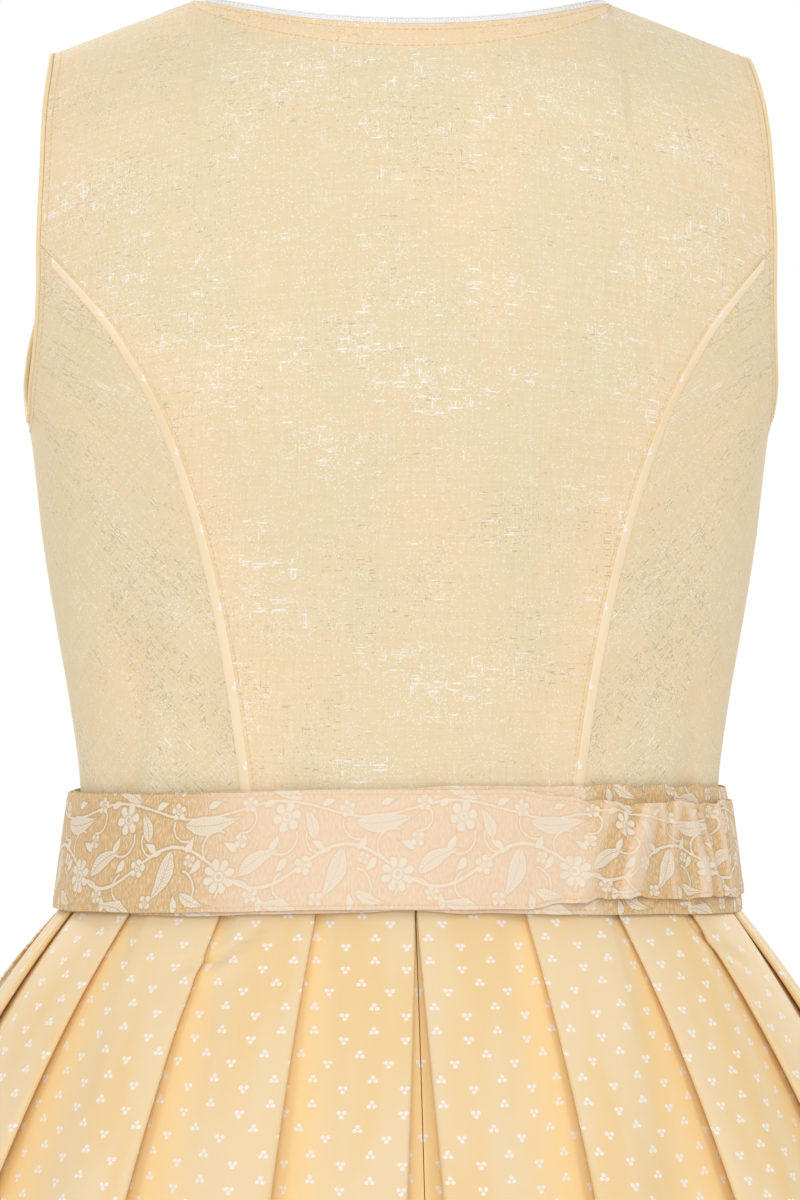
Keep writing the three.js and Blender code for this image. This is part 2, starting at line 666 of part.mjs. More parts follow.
// A stretch of band or tie as a strip on the band's ring, through given shares of its length
function tieStrip({ shares, levels = [0, 1], out, edges, extra = () => 0 }) {
  const grids = [tieWall, 0].map((more) => levels.map((v) => shares.map((share) => {
    const z = mix(edges(share).low, edges(share).high, v) + tiltAt(share);
    const ring = measuredRing(bandRing(z), z);
    return ring.point(share * ring.total, out + more + extra(share, v));
  })));
  return wallBetween(grids[0], grids[1]);
}

// The upper tie narrows and creases towards the wearer's right side
const rampUp = (share, start, length) => clamp((share - start) / length, 0, 1);
const creased = (share) => rampUp(-share, -creaseStart, 0.05) * rampUp(share, creaseEnd, 0.06);
function creaseHeight(share, v) {
  return tieCreases.reduce((sum, crease) => {
    const off = (share - crease.at - crease.lean * (v - 0.5)) / crease.width;
    return sum + crease.height * Math.exp(-off * off);
  }, 0);
}
const upperEdges = (share) => {
  const drawn = rampUp(-share, -creaseStart, 0.08) * rampUp(share, creaseEnd - 0.2, 0.1);
  return {
    low: bandBottomZ + mix(tieInset.wide, tieInset.drawnLow, drawn),
    high: bandTopZ - mix(tieInset.wide, tieInset.drawnHigh, drawn),
  };
};
const upperOut = tieGap + tieWall + tieGap;

// The bow: two loops of tie, a knot and two hanging ends
const bandMidZ = (bandTopZ + bandBottomZ) / 2;
const bowFrame = (() => {
  const ring = measuredRing(bandRing(bandMidZ), bandMidZ);
  const at = ring.point(bowAt * ring.total, upperOut + tieWall);
  const beside = ring.point((bowAt + 0.01) * ring.total, upperOut + tieWall);
  const across = beside.clone().sub(at).setZ(0).normalize();
  const out = new THREE.Vector3(across.y, -across.x, 0);
  if (out.dot(at) < 0) out.negate();
  return { at, across, out };
})();
const bow = {
  knotWidth: 30, knotHeight: 44, knotDepth: 15, loopLength: 86, loopDepth: 21, loopDroop: 16,
  loopNarrow: 26, loopWide: 56, loopStandOff: 2.2,
};
const bowPoint = (along, out, up) => bowFrame.at.clone().addScaledVector(bowFrame.across, along)
  .addScaledVector(bowFrame.out, out).add(new THREE.Vector3(0, 0, up));

function knotBody() {
  const rings = 8;
  const sides = 14;
  const round = (value, power) => Math.sign(value) * Math.abs(value) ** power;
  const squareness = 0.7;
  const centreOut = bow.knotDepth / 2 + seamGap;
  const positions = [];
  const faces = [];
  for (let j = 0; j <= rings; j += 1) {
    const lift = (j / rings - 0.5) * Math.PI;
    for (let i = 0; i < (j % rings === 0 ? 1 : sides); i += 1) {
      const turn = (i / sides) * 2 * Math.PI;
      const level = round(Math.cos(lift), squareness);
      const p = bowPoint(
        (bow.knotWidth / 2) * level * round(Math.cos(turn), squareness),
        centreOut + (bow.knotDepth / 2) * level * round(Math.sin(turn), squareness),
        (bow.knotHeight / 2) * round(Math.sin(lift), squareness),
      );
      positions.push(p.x, p.y, p.z);
    }
  }
  const lastPoint = 1 + (rings - 1) * sides;
  const index = (j, i) => 1 + (j - 1) * sides + (i % sides);
  for (let i = 0; i < sides; i += 1) {
    faces.push(0, index(1, i + 1), index(1, i));
    for (let j = 1; j < rings - 1; j += 1) {
      faces.push(index(j, i), index(j, i + 1), index(j + 1, i + 1));
      faces.push(index(j, i), index(j + 1, i + 1), index(j + 1, i));
    }
    faces.push(index(rings - 1, i), index(rings - 1, i + 1), lastPoint);
  }
  return closedGeometry(positions, faces);
}

// A loop runs out from the knot, turns and comes back behind itself
function loopWall(sign) {
  const steps = 18;
  const start = bow.knotWidth / 2 + seamGap;
  const line = evenly(0, 1, steps).map((share) => {
    const turn = mix(0.12, 0.88, share) * 2 * Math.PI;
    const reach = (1 - Math.cos(turn)) / 2;
    return {
      x: start + bow.loopLength * (reach - (1 - Math.cos(0.24 * Math.PI)) / 2) * 1.16,
      y: bow.loopStandOff + bow.loopDepth * (0.5 + 0.5 * Math.sin(turn) * (0.35 + 0.65 * reach)), reach,
    };
  });
  const grids = [tieWall / 2, -tieWall / 2].map((distance) => {
    const beside = besideLine(line, distance);
    return evenly(-0.5, 0.5, 2).map((v) => beside.map((p, k) => {
      const { reach } = line[k];
      const width = mix(bow.loopNarrow, bow.loopWide, reach);
      return bowPoint(sign * p.x, p.y, v * width - bow.loopDroop * reach * reach);
    }));
  });
  return wallBetween(grids[0], grids[1]);
}

// An end hangs from the knot over the apron, with a slanting cut
const tails = [
  { name: "tie_end_left", lean: 52, long: 300, start: 12, side: 1 },
  { name: "tie_end_right", lean: -56, long: 270, start: -12, side: -1 },
];
const tail = {
  rows: 12, narrow: 20, wide: 50, slant: 22, rest: 0.35, ripple: 1.6, bandPart: 12, bandRise: 3, opening: 3,
};
function tailWall({ lean, long, start, side }) {
  const topZ = bandMidZ - bow.knotHeight / 2 - seamGap;
  const overBand = upperOut + tieWall + seamGap;
  // The distance from the ring to the outside of what the end hangs over
  const under = (z) => {
    const past = clamp((bandBottomZ + tail.bandPart - z) / tail.bandPart, 0, 1);
    if (z > bandBottomZ) return overBand + tail.bandRise * past;
    return apronOut(z, 0) + clothWall;
  };
  const grids = [tieWall, 0].map((more) => evenly(0, 1, tail.rows).map((v) =>
    evenly(-0.5, 0.5, 4).map((u) => {
      const z = topZ - long * v - tail.slant * v * (u * side + 0.5);
      const ring = measuredRing(z > bandBottomZ ? bandRing(z) : skirtRing(z), z);
      const width = mix(tail.narrow, tail.wide, clamp(v * tail.opening, 0, 1));
      const along = bowAt * ring.total - start - lean * v - u * width;
      const ripple = tail.ripple * Math.cos(u * 4 * Math.PI) * clamp(v * tail.opening, 0, 1);
      return ring.point(along, under(z) + tail.rest + more + tail.ripple + ripple);
    })));
  return wallBetween(grids[0], grids[1]);
}

// A place on the centre line of the front that carries the buttons
function buttonSeat(z) {
  const { grid, normals } = panels.front_right;
  const row = (closingRows * (z - waistSeamZ)) / (neckPoint.z - frontNeckDepth - waistSeamZ);
  const j = Math.floor(row);
  const along = (list, i) => list[j][i].clone().lerp(list[j + 1][i], row - j);
  const [first, second] = [along(grid, 0), along(grid, 1)];
  const share = first.x / (first.x - second.x);
  const normal = along(normals, 0).lerp(along(normals, 1), share).normalize();
  return { seat: first.lerp(second, share), normal };
}
function buttonBody() {
  const profile = [
    [0, 0], [0.85, 0], [1, 0.35], [0.75, 0.85], [0, 1],
  ].map(([r, h]) => new THREE.Vector2(r * buttonRadius, h * buttonHeight));
  return new THREE.LatheGeometry(profile, buttonSides);
}

// The assembly
const dress = new THREE.Group();
function add(name, geometry, finish) {
  const mesh = new THREE.Mesh(geometry, new THREE.MeshStandardMaterial(finishes[finish]));
  mesh.name = name;
  dress.add(mesh);
  return mesh;
}

for (const [name, panel] of Object.entries(panels)) add(name, panelWall(panel), "bodice");
for (const [name, sign] of [["left", 1], ["right", -1]]) {
  add(`seam_piping_${name}`, pipingStrip(name), "print");
  add(`armhole_edging_${name}`, armholeTube(name), "bodice");
  add(`skirt_back_${name}`, skirtPanel("backLine", sign), "print");
  add(`skirt_front_${name}`, skirtPanel("frontLine", sign), "print");
}
add("neck_trim", neckTube(), "trim");

for (let k = 0; k < buttonCount; k += 1) {
  const z = mix(buttonTopZ, buttonBottomZ, k / (buttonCount - 1));
  const { seat, normal } = buttonSeat(z);
  const button = add(`button_${k + 1}`, buttonBody(), "button");
  button.quaternion.setFromUnitVectors(new THREE.Vector3(0, 1, 0), normal);
  button.position.copy(seat).addScaledVector(normal, seamGap);
}

const wholeHeight = () => ({ low: bandBottomZ, high: bandTopZ });
add("apron_band", tieStrip({
  shares: evenly(bandEnd + 0.003, 2 - bandEnd - 0.003, 20), out: tieGap, edges: wholeHeight,
}), "brocade");
add("tie_under", tieStrip({
  shares: evenly(bandEnd, -bandEnd, 32), out: tieGap,
  edges: (share) => {
    const reach = share < 0 ? underTieReach : 0;
    return { low: bandBottomZ - reach, high: bandTopZ + reach };
  },
}), "brocade");
add("tie_over", tieStrip({
  shares: [
    ...evenly(bowAt - bowGap, creaseStart, 28), ...evenly(creaseStart, creaseEnd, 40).slice(1),
    ...evenly(creaseEnd, bowAt + bowGap - 2, 18).slice(1),
  ],
  levels: [0, 0.33, 0.67, 1], out: upperOut, edges: upperEdges,
  extra: (share, v) => creased(share) * creaseHeight(share, v),
}), "brocade");
add("apron", apronWall(), "brocade");
add("bow_knot", knotBody(), "brocade");
add("bow_loop_left", loopWall(-1), "brocade");
add("bow_loop_right", loopWall(1), "brocade");
for (const end of tails) add(end.name, tailWall(end), "brocade");

export default dress;
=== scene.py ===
import math

import bmesh
import bpy
import numpy as np
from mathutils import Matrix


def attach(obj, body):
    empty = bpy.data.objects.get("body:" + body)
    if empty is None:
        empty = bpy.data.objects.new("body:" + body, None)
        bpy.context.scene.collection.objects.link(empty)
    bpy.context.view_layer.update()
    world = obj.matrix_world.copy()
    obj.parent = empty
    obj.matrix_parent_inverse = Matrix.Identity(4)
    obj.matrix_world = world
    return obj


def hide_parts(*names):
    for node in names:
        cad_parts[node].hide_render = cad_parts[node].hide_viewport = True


print("loading the frame")
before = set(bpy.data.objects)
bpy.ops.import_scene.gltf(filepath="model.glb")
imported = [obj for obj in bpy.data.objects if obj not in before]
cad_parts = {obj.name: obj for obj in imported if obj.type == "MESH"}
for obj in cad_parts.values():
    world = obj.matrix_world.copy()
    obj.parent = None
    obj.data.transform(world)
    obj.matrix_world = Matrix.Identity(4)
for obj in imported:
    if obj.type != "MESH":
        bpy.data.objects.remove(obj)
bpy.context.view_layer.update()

# The script works in millimetres; meshes are written in metres.
millimetre = 0.001
quarterTurn = math.pi / 2


def mixTo(a, b, share):
    return a + (b - a) * share


def smoothStep(value, start=0.0, end=1.0):
    t = np.clip((value - start) / (end - start), 0.0, 1.0)
    return t * t * (3 - 2 * t)


def hump(distance, width):
    return np.exp(-((distance / width) ** 2))


def wander(t, seed, waves=(1.0, 2.3, 4.1)):  # a slow uneven line between -1 and 1
    phases = [math.sin(seed * 12.9898 + k * 78.233) * 43.7585 for k in range(len(waves))]
    return sum(np.sin(t * w + p) / (k + 1) for k, (w, p) in enumerate(zip(waves, phases))) / 1.83


def readTable(table, column, z):  # a smooth line through a table's rows
    zs, ys = np.array(table["z"], float), np.array(table[column], float)
    if zs[0] > zs[-1]:
        zs, ys = zs[::-1], ys[::-1]
    low, high = np.maximum(np.arange(len(zs)) - 1, 0), np.minimum(np.arange(len(zs)) + 1, len(zs) - 1)
    slopes = (ys[high] - ys[low]) / (zs[high] - zs[low])
    z = np.asarray(z, float)
    i = np.clip(np.searchsorted(zs, z, side="right") - 1, 0, len(zs) - 2)
    step = zs[i + 1] - zs[i]
    t = np.clip((z - zs[i]) / step, 0.0, 1.0)
    t2, t3 = t * t, t * t * t
    start = ys[i] * (2 * t3 - 3 * t2 + 1) + slopes[i] * step * (t3 - 2 * t2 + t)
    return start + ys[i + 1] * (3 * t2 - 2 * t3) + slopes[i + 1] * step * (t3 - t2)


# Sizes that the pieces share, as in the part's source
dress = {
    "bodiceWall": 1.2, "clothWall": 1.0, "tieWall": 1.1, "seamGap": 0.4,
    "waistSeamZ": -372.0, "skirtLength": 700.0, "bandTopZ": -351.0, "bandBottomZ": -405.0,
}
seamGap = dress["seamGap"]
waistSeamZ = dress["waistSeamZ"]
hemZ = waistSeamZ - dress["skirtLength"]

figure = {
    "z": [60, 0, -40, -80, -120, -162, -183, -205, -236, -273, -310, -347, -372],
    "halfWidth": [194, 194, 193, 191, 185.5, 177, 171, 168, 164.6, 158.8, 152.4, 147.6, 148.2],
    "back": [50, 70, 88, 100, 107.5, 110, 109.5, 107.5, 103.5, 99, 95.5, 94, 95.5],
    "front": [36, 48, 66, 89, 113, 132, 137, 137, 131, 120, 111, 107, 108],
    "backPower": [2.2, 2.2, 2.2, 2.2, 2.2, 2.2, 2.2, 2.15, 2.1, 2.05, 2, 2, 2],
    "frontPower": [2.2, 2.2, 2.2, 2.25, 2.3, 2.4, 2.4, 2.35, 2.2, 2.1, 2, 2, 2],
}
bodice = {
    "neckPoint": (96.0, 11.5), "shoulderPoint": (159.0, -12.5), "underarmZ": -183.0,
    "shoulderRoll": 60.0, "ridgeRounding": 40.0, "neckDip": 14.2, "neckPower": 2.2,
    "frontNeckDepth": 128.0, "frontNeckPower": 2.6, "frontEdgeX": 8.0,
    "seamRows": 84, "armholeRows": 42, "closingRows": 60, "frontColumns": 46, "sideColumns": 30,
    "neckColumns": 30, "shoulderColumns": 18,
}
backPrincess = {
    "z": [-372, -300, -235, -180, -142, -122, -102],
    "x": [70, 79.5, 93, 111.5, 132.5, 148.5, 166.5],
}
backArmhole = {"z": [-102, -70, -40, -12.5], "x": [166.5, 164.8, 163.0, 159.0]}
frontPrincess = {"z": [-372, -330, -260, -200, -150, -120, -98], "x": [60, 66, 80, 92, 108, 128, 150]}
frontArmhole = {"z": [-98, -70, -40, -12.5], "x": [150, 148.6, 151.2, 159.0]}

# Soft creases of the bodice: from and to are x, z on the outside; depth is inward when negative.
# The wearer's left is +x. The first list is the back, the second the front.
backCreases = [
    {"from": (131, -372), "to": (138, -262), "width": 4.6, "depth": -2.4},
    {"from": (119, -372), "to": (124, -300), "width": 6.0, "depth": 1.3},
    {"from": (88, -372), "to": (99, -262), "width": 4.2, "depth": -1.3},
    {"from": (104, -366), "to": (112, -296), "width": 4.0, "depth": -0.8},
    {"from": (140, -350), "to": (150, -262), "width": 8.0, "depth": 0.9},
    {"from": (-122, -372), "to": (-131, -280), "width": 4.8, "depth": -2.0},
    {"from": (-92, -372), "to": (-101, -290), "width": 4.5, "depth": -1.1},
    {"from": (-136, -360), "to": (-146, -250), "width": 9.0, "depth": 0.9},
    {"from": (-128, -246), "to": (-140, -140), "width": 10.0, "depth": -1.0},
    {"from": (-9, -372), "to": (-6, -318), "width": 5.0, "depth": -0.9},
    {"from": (44, -372), "to": (50, -332), "width": 6.0, "depth": -0.7},
    {"from": (-46, -372), "to": (-55, -326), "width": 6.5, "depth": -0.7},
    {"from": (20, -372), "to": (16, -338), "width": 7.0, "depth": 0.6},
    {"from": (-30, -370), "to": (-26, -330), "width": 7.0, "depth": 0.5},
    {"from": (150, -170), "to": (108, -222), "width": 9.0, "depth": -0.8},
    {"from": (-152, -168), "to": (-112, -228), "width": 9.0, "depth": -0.8},
    {"from": (104, -26), "to": (150, -82), "width": 9.0, "depth": -0.7},
    {"from": (-104, -26), "to": (-152, -84), "width": 8.0, "depth": -0.7},
    {"from": (60, -300), "to": (-40, -318), "width": 12.0, "depth": -0.5},
]
frontCreases = [
    {"from": (118, -372), "to": (126, -304), "width": 5.5, "depth": -1.3},
    {"from": (-120, -372), "to": (-130, -300), "width": 5.5, "depth": -1.4},
    {"from": (134, -352), "to": (146, -268), "width": 8.0, "depth": 0.8},
    {"from": (-136, -352), "to": (-148, -262), "width": 8.0, "depth": 0.8},
    {"from": (38, -372), "to": (44, -326), "width": 6.0, "depth": -0.8},
    {"from": (-36, -372), "to": (-44, -330), "width": 6.0, "depth": -0.8},
    {"from": (20, -250), "to": (64, -232), "width": 8.0, "depth": -0.7},
    {"from": (-22, -214), "to": (-66, -200), "width": 8.0, "depth": -0.7},
    {"from": (22, -178), "to": (70, -170), "width": 9.0, "depth": -0.6},
    {"from": (128, -60), "to": (118, -130), "width": 9.0, "depth": -0.7},
    {"from": (-126, -58), "to": (-120, -134), "width": 9.0, "depth": -0.7},
    {"from": (150, -196), "to": (112, -250), "width": 9.0, "depth": -0.8},
    {"from": (-150, -198), "to": (-114, -246), "width": 9.0, "depth": -0.8},
]


def ridgeZ(x):
    neckX, neckZ = bodice["neckPoint"]
    shoulderX, shoulderZ = bodice["shoulderPoint"]
    rounding = bodice["ridgeRounding"]
    start = math.hypot(neckX, rounding)
    slope = (neckZ - shoulderZ) / (math.hypot(shoulderX, rounding) - start)
    return neckZ - slope * (np.hypot(x, rounding) - start)


def unrolled(z, x):
    roll = bodice["shoulderRoll"]
    low = ridgeZ(x) - roll
    return np.where(z < low, z - low, roll * np.arcsin(np.clip((z - low) / roll, 0, 1)))


def rolled(length, x):
    roll = bodice["shoulderRoll"]
    low = ridgeZ(x) - roll
    return np.where(length < 0, low + length, low + roll * np.sin(np.clip(length / roll, 0, quarterTurn)))


def shapeAt(z, side):
    face = "back" if side > 0 else "front"
    return readTable(figure, "halfWidth", z), readTable(figure, face, z), readTable(figure, face + "Power", z)


def shoulderFall(x, z):
    return 1 - np.minimum((ridgeZ(x) - z) / bodice["shoulderRoll"], 1)


def bodicePoints(x, z, side):
    x, z = np.broadcast_arrays(np.asarray(x, float), np.asarray(z, float))
    halfWidth, depth, power = shapeAt(z, side)
    share = np.minimum(np.abs(x) / halfWidth, 1)
    fall = np.clip(shoulderFall(x, z), 0, 1)
    y = side * depth * (1 - share**power) ** (1 / power) * np.sqrt(1 - fall * fall)
    return np.stack([x, y, z], -1)


def faceValue(points, side):
    x, y, z = points[..., 0], points[..., 1], points[..., 2]
    halfWidth, depth, power = shapeAt(z, side)
    share, fall = np.abs(x) / halfWidth, shoulderFall(x, z)
    plain = share**power + (np.abs(y) / depth) ** power - 1
    reach = np.maximum(1 - np.minimum(share, 0.9999) ** power, 1e-6) ** (2 / power)
    return np.where(fall <= 0, plain, (y / depth) ** 2 / reach + fall * fall - 1)


def bodiceNormals(points, side):
    step = 0.05
    slopes = [faceValue(points + shift, side) - faceValue(points - shift, side) for shift in np.eye(3) * step]
    normals = np.stack(slopes, -1)
    return normals / np.linalg.norm(normals, axis=-1, keepdims=True)


def creaseDepth(x, z, creases):
    total = np.zeros(np.shape(x))
    for crease in creases:
        start, end = np.array(crease["from"], float), np.array(crease["to"], float)
        along = end - start
        length = np.linalg.norm(along)
        t = ((x - start[0]) * along[0] + (z - start[1]) * along[1]) / length**2
        off = ((x - start[0]) * along[1] - (z - start[1]) * along[0]) / length
        bend = 0.12 * length * np.sin(np.clip(t, 0, 1) * math.pi) * math.sin(start[0])
        fade = smoothStep(t, -0.25, 0.15) * (1 - smoothStep(t, 0.6, 1.1))
        reach = crease["width"] * (1 + 0.5 * np.clip(t, 0, 1))
        total = total + crease["depth"] * hump(off - bend, reach) * fade
    return total


def lineX(princess, armhole, z):
    return np.where(z < princess["z"][-1], readTable(princess, "x", z), readTable(armhole, "x", z))


def outerEdge(princess, armhole):
    cornerX, cornerZ = princess["x"][-1], princess["z"][-1]
    low = np.linspace(waistSeamZ, cornerZ, bodice["seamRows"] + 1)
    shoulderX, shoulderZ = bodice["shoulderPoint"]
    rows = bodice["armholeRows"] + 1
    lengths = np.linspace(unrolled(cornerZ, cornerX), unrolled(shoulderZ, shoulderX), rows)[1:]
    x = np.full(len(lengths), float(cornerX))
    for _ in range(4):
        x = lineX(princess, armhole, rolled(lengths, x))
    zs = np.concatenate([low, rolled(lengths, x)])
    xs = np.concatenate([lineX(princess, armhole, low), x])
    lengths = unrolled(zs, xs)
    xs = xs - seamGap / 2
    return xs, np.where(np.arange(len(zs)) > bodice["seamRows"], rolled(lengths, xs), zs), lengths


def backCentreGrid():
    xs, zs, lengths = outerEdge(backPrincess, backArmhole)
    v = ((lengths - lengths[0]) / (lengths[-1] - lengths[0]))[:, None]
    bulge = xs[:, None] - mixTo(xs[0], xs[-1], v)
    share = bodice["neckPoint"][0] / bodice["shoulderPoint"][0]
    half = np.concatenate([
        np.linspace(0, share, bodice["neckColumns"] + 1),
        np.linspace(share, 1, bodice["shoulderColumns"] + 1)[1:],
    ])
    u = np.concatenate([-half[:0:-1], half])[None, :]
    size = np.abs(u)
    curve = 1 - np.minimum(size / share, 1) ** bodice["neckPower"]
    dip = bodice["neckPoint"][1] - bodice["neckDip"] * curve
    topX = size * bodice["shoulderPoint"][0]
    topZ = np.where(size >= share, ridgeZ(topX), dip)
    lowX = size * xs[0]
    x = mixTo(lowX, topX, v) + size * bulge
    length = mixTo(unrolled(waistSeamZ, lowX), unrolled(topZ, topX), v)
    z = np.where(size == 1, zs[:, None], rolled(length, x))
    points = bodicePoints(x, z, 1)
    points[..., 0] *= np.where(u < 0, -1, 1)
    return points


def frontGrid(sign):
    edgeX = bodice["frontEdgeX"] + seamGap / 2 if sign > 0 else seamGap / 2 - bodice["frontEdgeX"]
    neckX, neckZ = bodice["neckPoint"]
    power = 2 / bodice["frontNeckPower"]
    closing = bodice["closingRows"]
    low = np.linspace(waistSeamZ, neckZ - bodice["frontNeckDepth"], closing + 1)
    turn = np.linspace(0, quarterTurn, bodice["seamRows"] + bodice["armholeRows"] - closing + 1)[1:]
    innerX = np.concatenate([np.full(len(low), edgeX), edgeX + (neckX - edgeX) * np.sin(turn) ** power])
    curve = neckZ - bodice["frontNeckDepth"] * np.maximum(np.cos(turn), 0) ** power
    innerZ = np.concatenate([low, curve])
    xs, zs, lengths = outerEdge(frontPrincess, frontArmhole)
    u = np.linspace(0, 1, bodice["frontColumns"] + 1)[None, :]
    x = mixTo(innerX[:, None], xs[:, None], u)
    length = mixTo(unrolled(innerZ, innerX)[:, None], lengths[:, None], u)
    z = np.where(u == 1, zs[:, None], rolled(length, x))
    points = bodicePoints(np.abs(x), z, -1)
    points[..., 0] *= np.where(x < 0, -1, 1) * sign
    return points


def sideGrid(side, sign):
    princess = backPrincess if side > 0 else frontPrincess
    cornerX, cornerZ = princess["x"][-1], princess["z"][-1]
    cornerY = abs(float(bodicePoints(cornerX, cornerZ, side)[1]))
    u = np.linspace(0, 1, bodice["sideColumns"] + 1)[None, :]
    v = np.linspace(0, 1, bodice["seamRows"] + 1)[:, None]

    def seamAngle(share):
        z = mixTo(waistSeamZ, cornerZ, share)
        return np.arcsin(np.minimum((readTable(princess, "x", z) + seamGap / 2) / shapeAt(z, side)[0], 1))

    topZ = mixTo(cornerZ, bodice["underarmZ"], np.sin(u * quarterTurn))
    _, depth, power = shapeAt(topZ, side)
    share = np.minimum(cornerY * np.cos(u * quarterTurn) / depth, 1)
    topAngle = np.maximum(np.arcsin((1 - share**power) ** (1 / power)), seamAngle(1.0))
    bend = seamAngle(v) - mixTo(seamAngle(0.0), seamAngle(1.0), v)
    z = mixTo(waistSeamZ, topZ, v)
    angle = mixTo(mixTo(seamAngle(0.0), quarterTurn, u), topAngle, v) + (1 - u) * bend
    points = bodicePoints(shapeAt(z, side)[0] * np.sin(np.minimum(angle, quarterTurn)), z, side)
    points[..., 0] *= sign
    return points


# Meshes. A grid is an array of rows of points; a shell is two grids with a rim round them.
def gridFaces(rows, columns, start=0):
    index = start + np.arange(rows * columns).reshape(rows, columns)
    return np.stack([index[:-1, :-1], index[:-1, 1:], index[1:, 1:], index[1:, :-1]], -1).reshape(-1, 4)


def signedVolume(points, faces):
    a, b, c, d = (points[faces[:, k]] for k in range(4))
    return np.einsum("ij,ij->", a, np.cross(b, c)) + np.einsum("ij,ij->", a, np.cross(c, d))


def makeMesh(name, points, faces, uv, material, tint=None, sharp=55):
    mesh = bpy.data.meshes.new(name)
    mesh.from_pydata((points * millimetre).tolist(), [], faces.tolist())
    if tint is not None:
        attribute = mesh.attributes.new("tint", "FLOAT", "POINT")
        attribute.data.foreach_set("value", tint.astype(np.float32).ravel())
    layer = mesh.uv_layers.new(name="cloth")
    loops = np.empty(len(mesh.loops), int)
    mesh.loops.foreach_get("vertex_index", loops)
    layer.data.foreach_set("uv", (uv[loops] * millimetre).astype(np.float32).ravel())
    mesh.materials.append(material)
    mesh.shade_smooth()
    mesh.set_sharp_from_angle(angle=math.radians(sharp))
    mesh.validate()
    piece = bpy.data.objects.new(name, mesh)
    bpy.context.scene.collection.objects.link(piece)
    return piece


def shell(name, outer, inner, uv, material, tint=None):  # tint is a value for each point, for the material
    rows, columns = outer.shape[:2]
    points = np.concatenate([outer.reshape(-1, 3), inner.reshape(-1, 3)])
    front = gridFaces(rows, columns)
    back = gridFaces(rows, columns, rows * columns)[:, ::-1]
    index = np.arange(rows * columns).reshape(rows, columns)
    loop = np.concatenate([index[0, :-1], index[:-1, -1], index[-1, :0:-1], index[:0:-1, 0]])
    after = np.roll(loop, -1)
    rim = np.stack([after, loop, loop + rows * columns, after + rows * columns], -1)
    faces = np.concatenate([front, back, rim])
    if signedVolume(points, faces) < 0:
        faces = faces[:, ::-1]
    tints = None if tint is None else np.concatenate([tint.ravel()] * 2)
    return makeMesh(name, points, faces, np.concatenate([uv.reshape(-1, 2)] * 2), material, tints)


def runLengths(grid, axis):
    steps = np.linalg.norm(np.diff(grid, axis=axis), axis=-1)
    zero = np.zeros_like(np.take(steps, [0], axis=axis))
    return np.concatenate([zero, np.cumsum(steps, axis=axis)], axis=axis)


def clothUv(grid, originColumn=0):
    across = runLengths(grid, 1)
    return np.stack([across - across[:, originColumn:originColumn + 1], runLengths(grid, 0)], -1)


def crossSize(a, b):
    return np.abs(a[..., 0] * b[..., 1] - a[..., 1] * b[..., 0])


def gridArea(uv):  # area of the flat cut, from its cloth coordinates
    a, b, c = uv[1:, :-1] - uv[:-1, :-1], uv[:-1, 1:] - uv[:-1, :-1], uv[1:, 1:] - uv[:-1, :-1]
    return float((crossSize(a, c) + crossSize(b, c)).sum() / 2)


def carry(piece, slot, *nodes):
    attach(piece, "root")
    if nodes:
        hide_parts(*nodes)


def declareCloth(piece, uv, slot, node):
    size = np.ptp(uv.reshape(-1, 2), axis=0) * millimetre
    area = min(gridArea(uv) * millimetre**2, 0.999 * float(size[0] * size[1]))
    area = max(area, 0.301 * float(size[0] * size[1]))
    carry(piece, slot, node)
    print(f"  {piece.name}: cut {size[0]:.3f} by {size[1]:.3f} m, area {area:.3f} m2")
    return piece


# The camera stands behind the dress, a little to the wearer's left of the middle.
camera = {"azimuth": 176.0, "elevation": 1.0, "distance": 3.0, "aimZ": -0.2635, "frameHeight": 0.554}


def buildCamera():
    turn, rise = math.radians(camera["azimuth"]), math.radians(camera["elevation"])
    away = camera["distance"]
    data = bpy.data.cameras.new("photoCamera")
    data.sensor_width = 36.0
    data.lens = data.sensor_width * away / camera["frameHeight"]
    data.clip_end = 30.0
    piece = bpy.data.objects.new("photoCamera", data)
    place = (
        away * math.sin(turn) * math.cos(rise),
        -away * math.cos(turn) * math.cos(rise),
        away * math.sin(rise),
    )
    piece.location = (place[0], place[1], place[2] + camera["aimZ"])
    piece.rotation_euler = (quarterTurn - rise, 0.0, turn)
    bpy.context.scene.collection.objects.link(piece)
    bpy.context.scene.camera = piece


# Shader maths: a wire is a socket that can be added, multiplied and so on.
class wire:
    def __init__(self, tree, socket):
        self.tree, self.socket = tree, socket

    def math(self, operation, *others):
        node = self.tree.nodes.new("ShaderNodeMath")
        node.operation = operation
        for slot, value in zip(node.inputs, (self, *others)):
            if isinstance(value, wire):
                self.tree.links.new(value.socket, slot)
            else:
                slot.default_value = float(value)
        return wire(self.tree, node.outputs[0])

    def __add__(self, other):
        return self.math("ADD", other)

    def __sub__(self, other):
        return self.math("SUBTRACT", other)

    def __mul__(self, other):
        return self.math("MULTIPLY", other)

    def __truediv__(self, other):
        return self.math("DIVIDE", other)

    def __rsub__(self, other):
        return self.math("MULTIPLY", -1.0).math("ADD", other)

    __radd__, __rmul__ = __add__, __mul__

    def abs(self):
        return self.math("ABSOLUTE")

    def least(self, other):
        return self.math("MINIMUM", other)

    def most(self, other):
        return self.math("MAXIMUM", other)

    def wrap(self, size):  # folds a length into -size/2 to size/2
        return self.math("WRAP", size / 2, -size / 2)

    def sine(self, period, phase=0.0):
        return (self * (2 * math.pi / period) + phase).math("SINE")

    def step(self, start, end):  # a soft step from 0 at start to 1 at end
        node = self.tree.nodes.new("ShaderNodeMapRange")
        node.interpolation_type = "SMOOTHSTEP"
        low, high, turned = (start, end, False) if start < end else (end, start, True)
        node.inputs["From Min"].default_value = low
        node.inputs["From Max"].default_value = high
        node.inputs["To Min"].default_value = 1.0 if turned else 0.0
        node.inputs["To Max"].default_value = 0.0 if turned else 1.0
        self.tree.links.new(self.socket, node.inputs["Value"])
        return wire(self.tree, node.outputs["Result"])


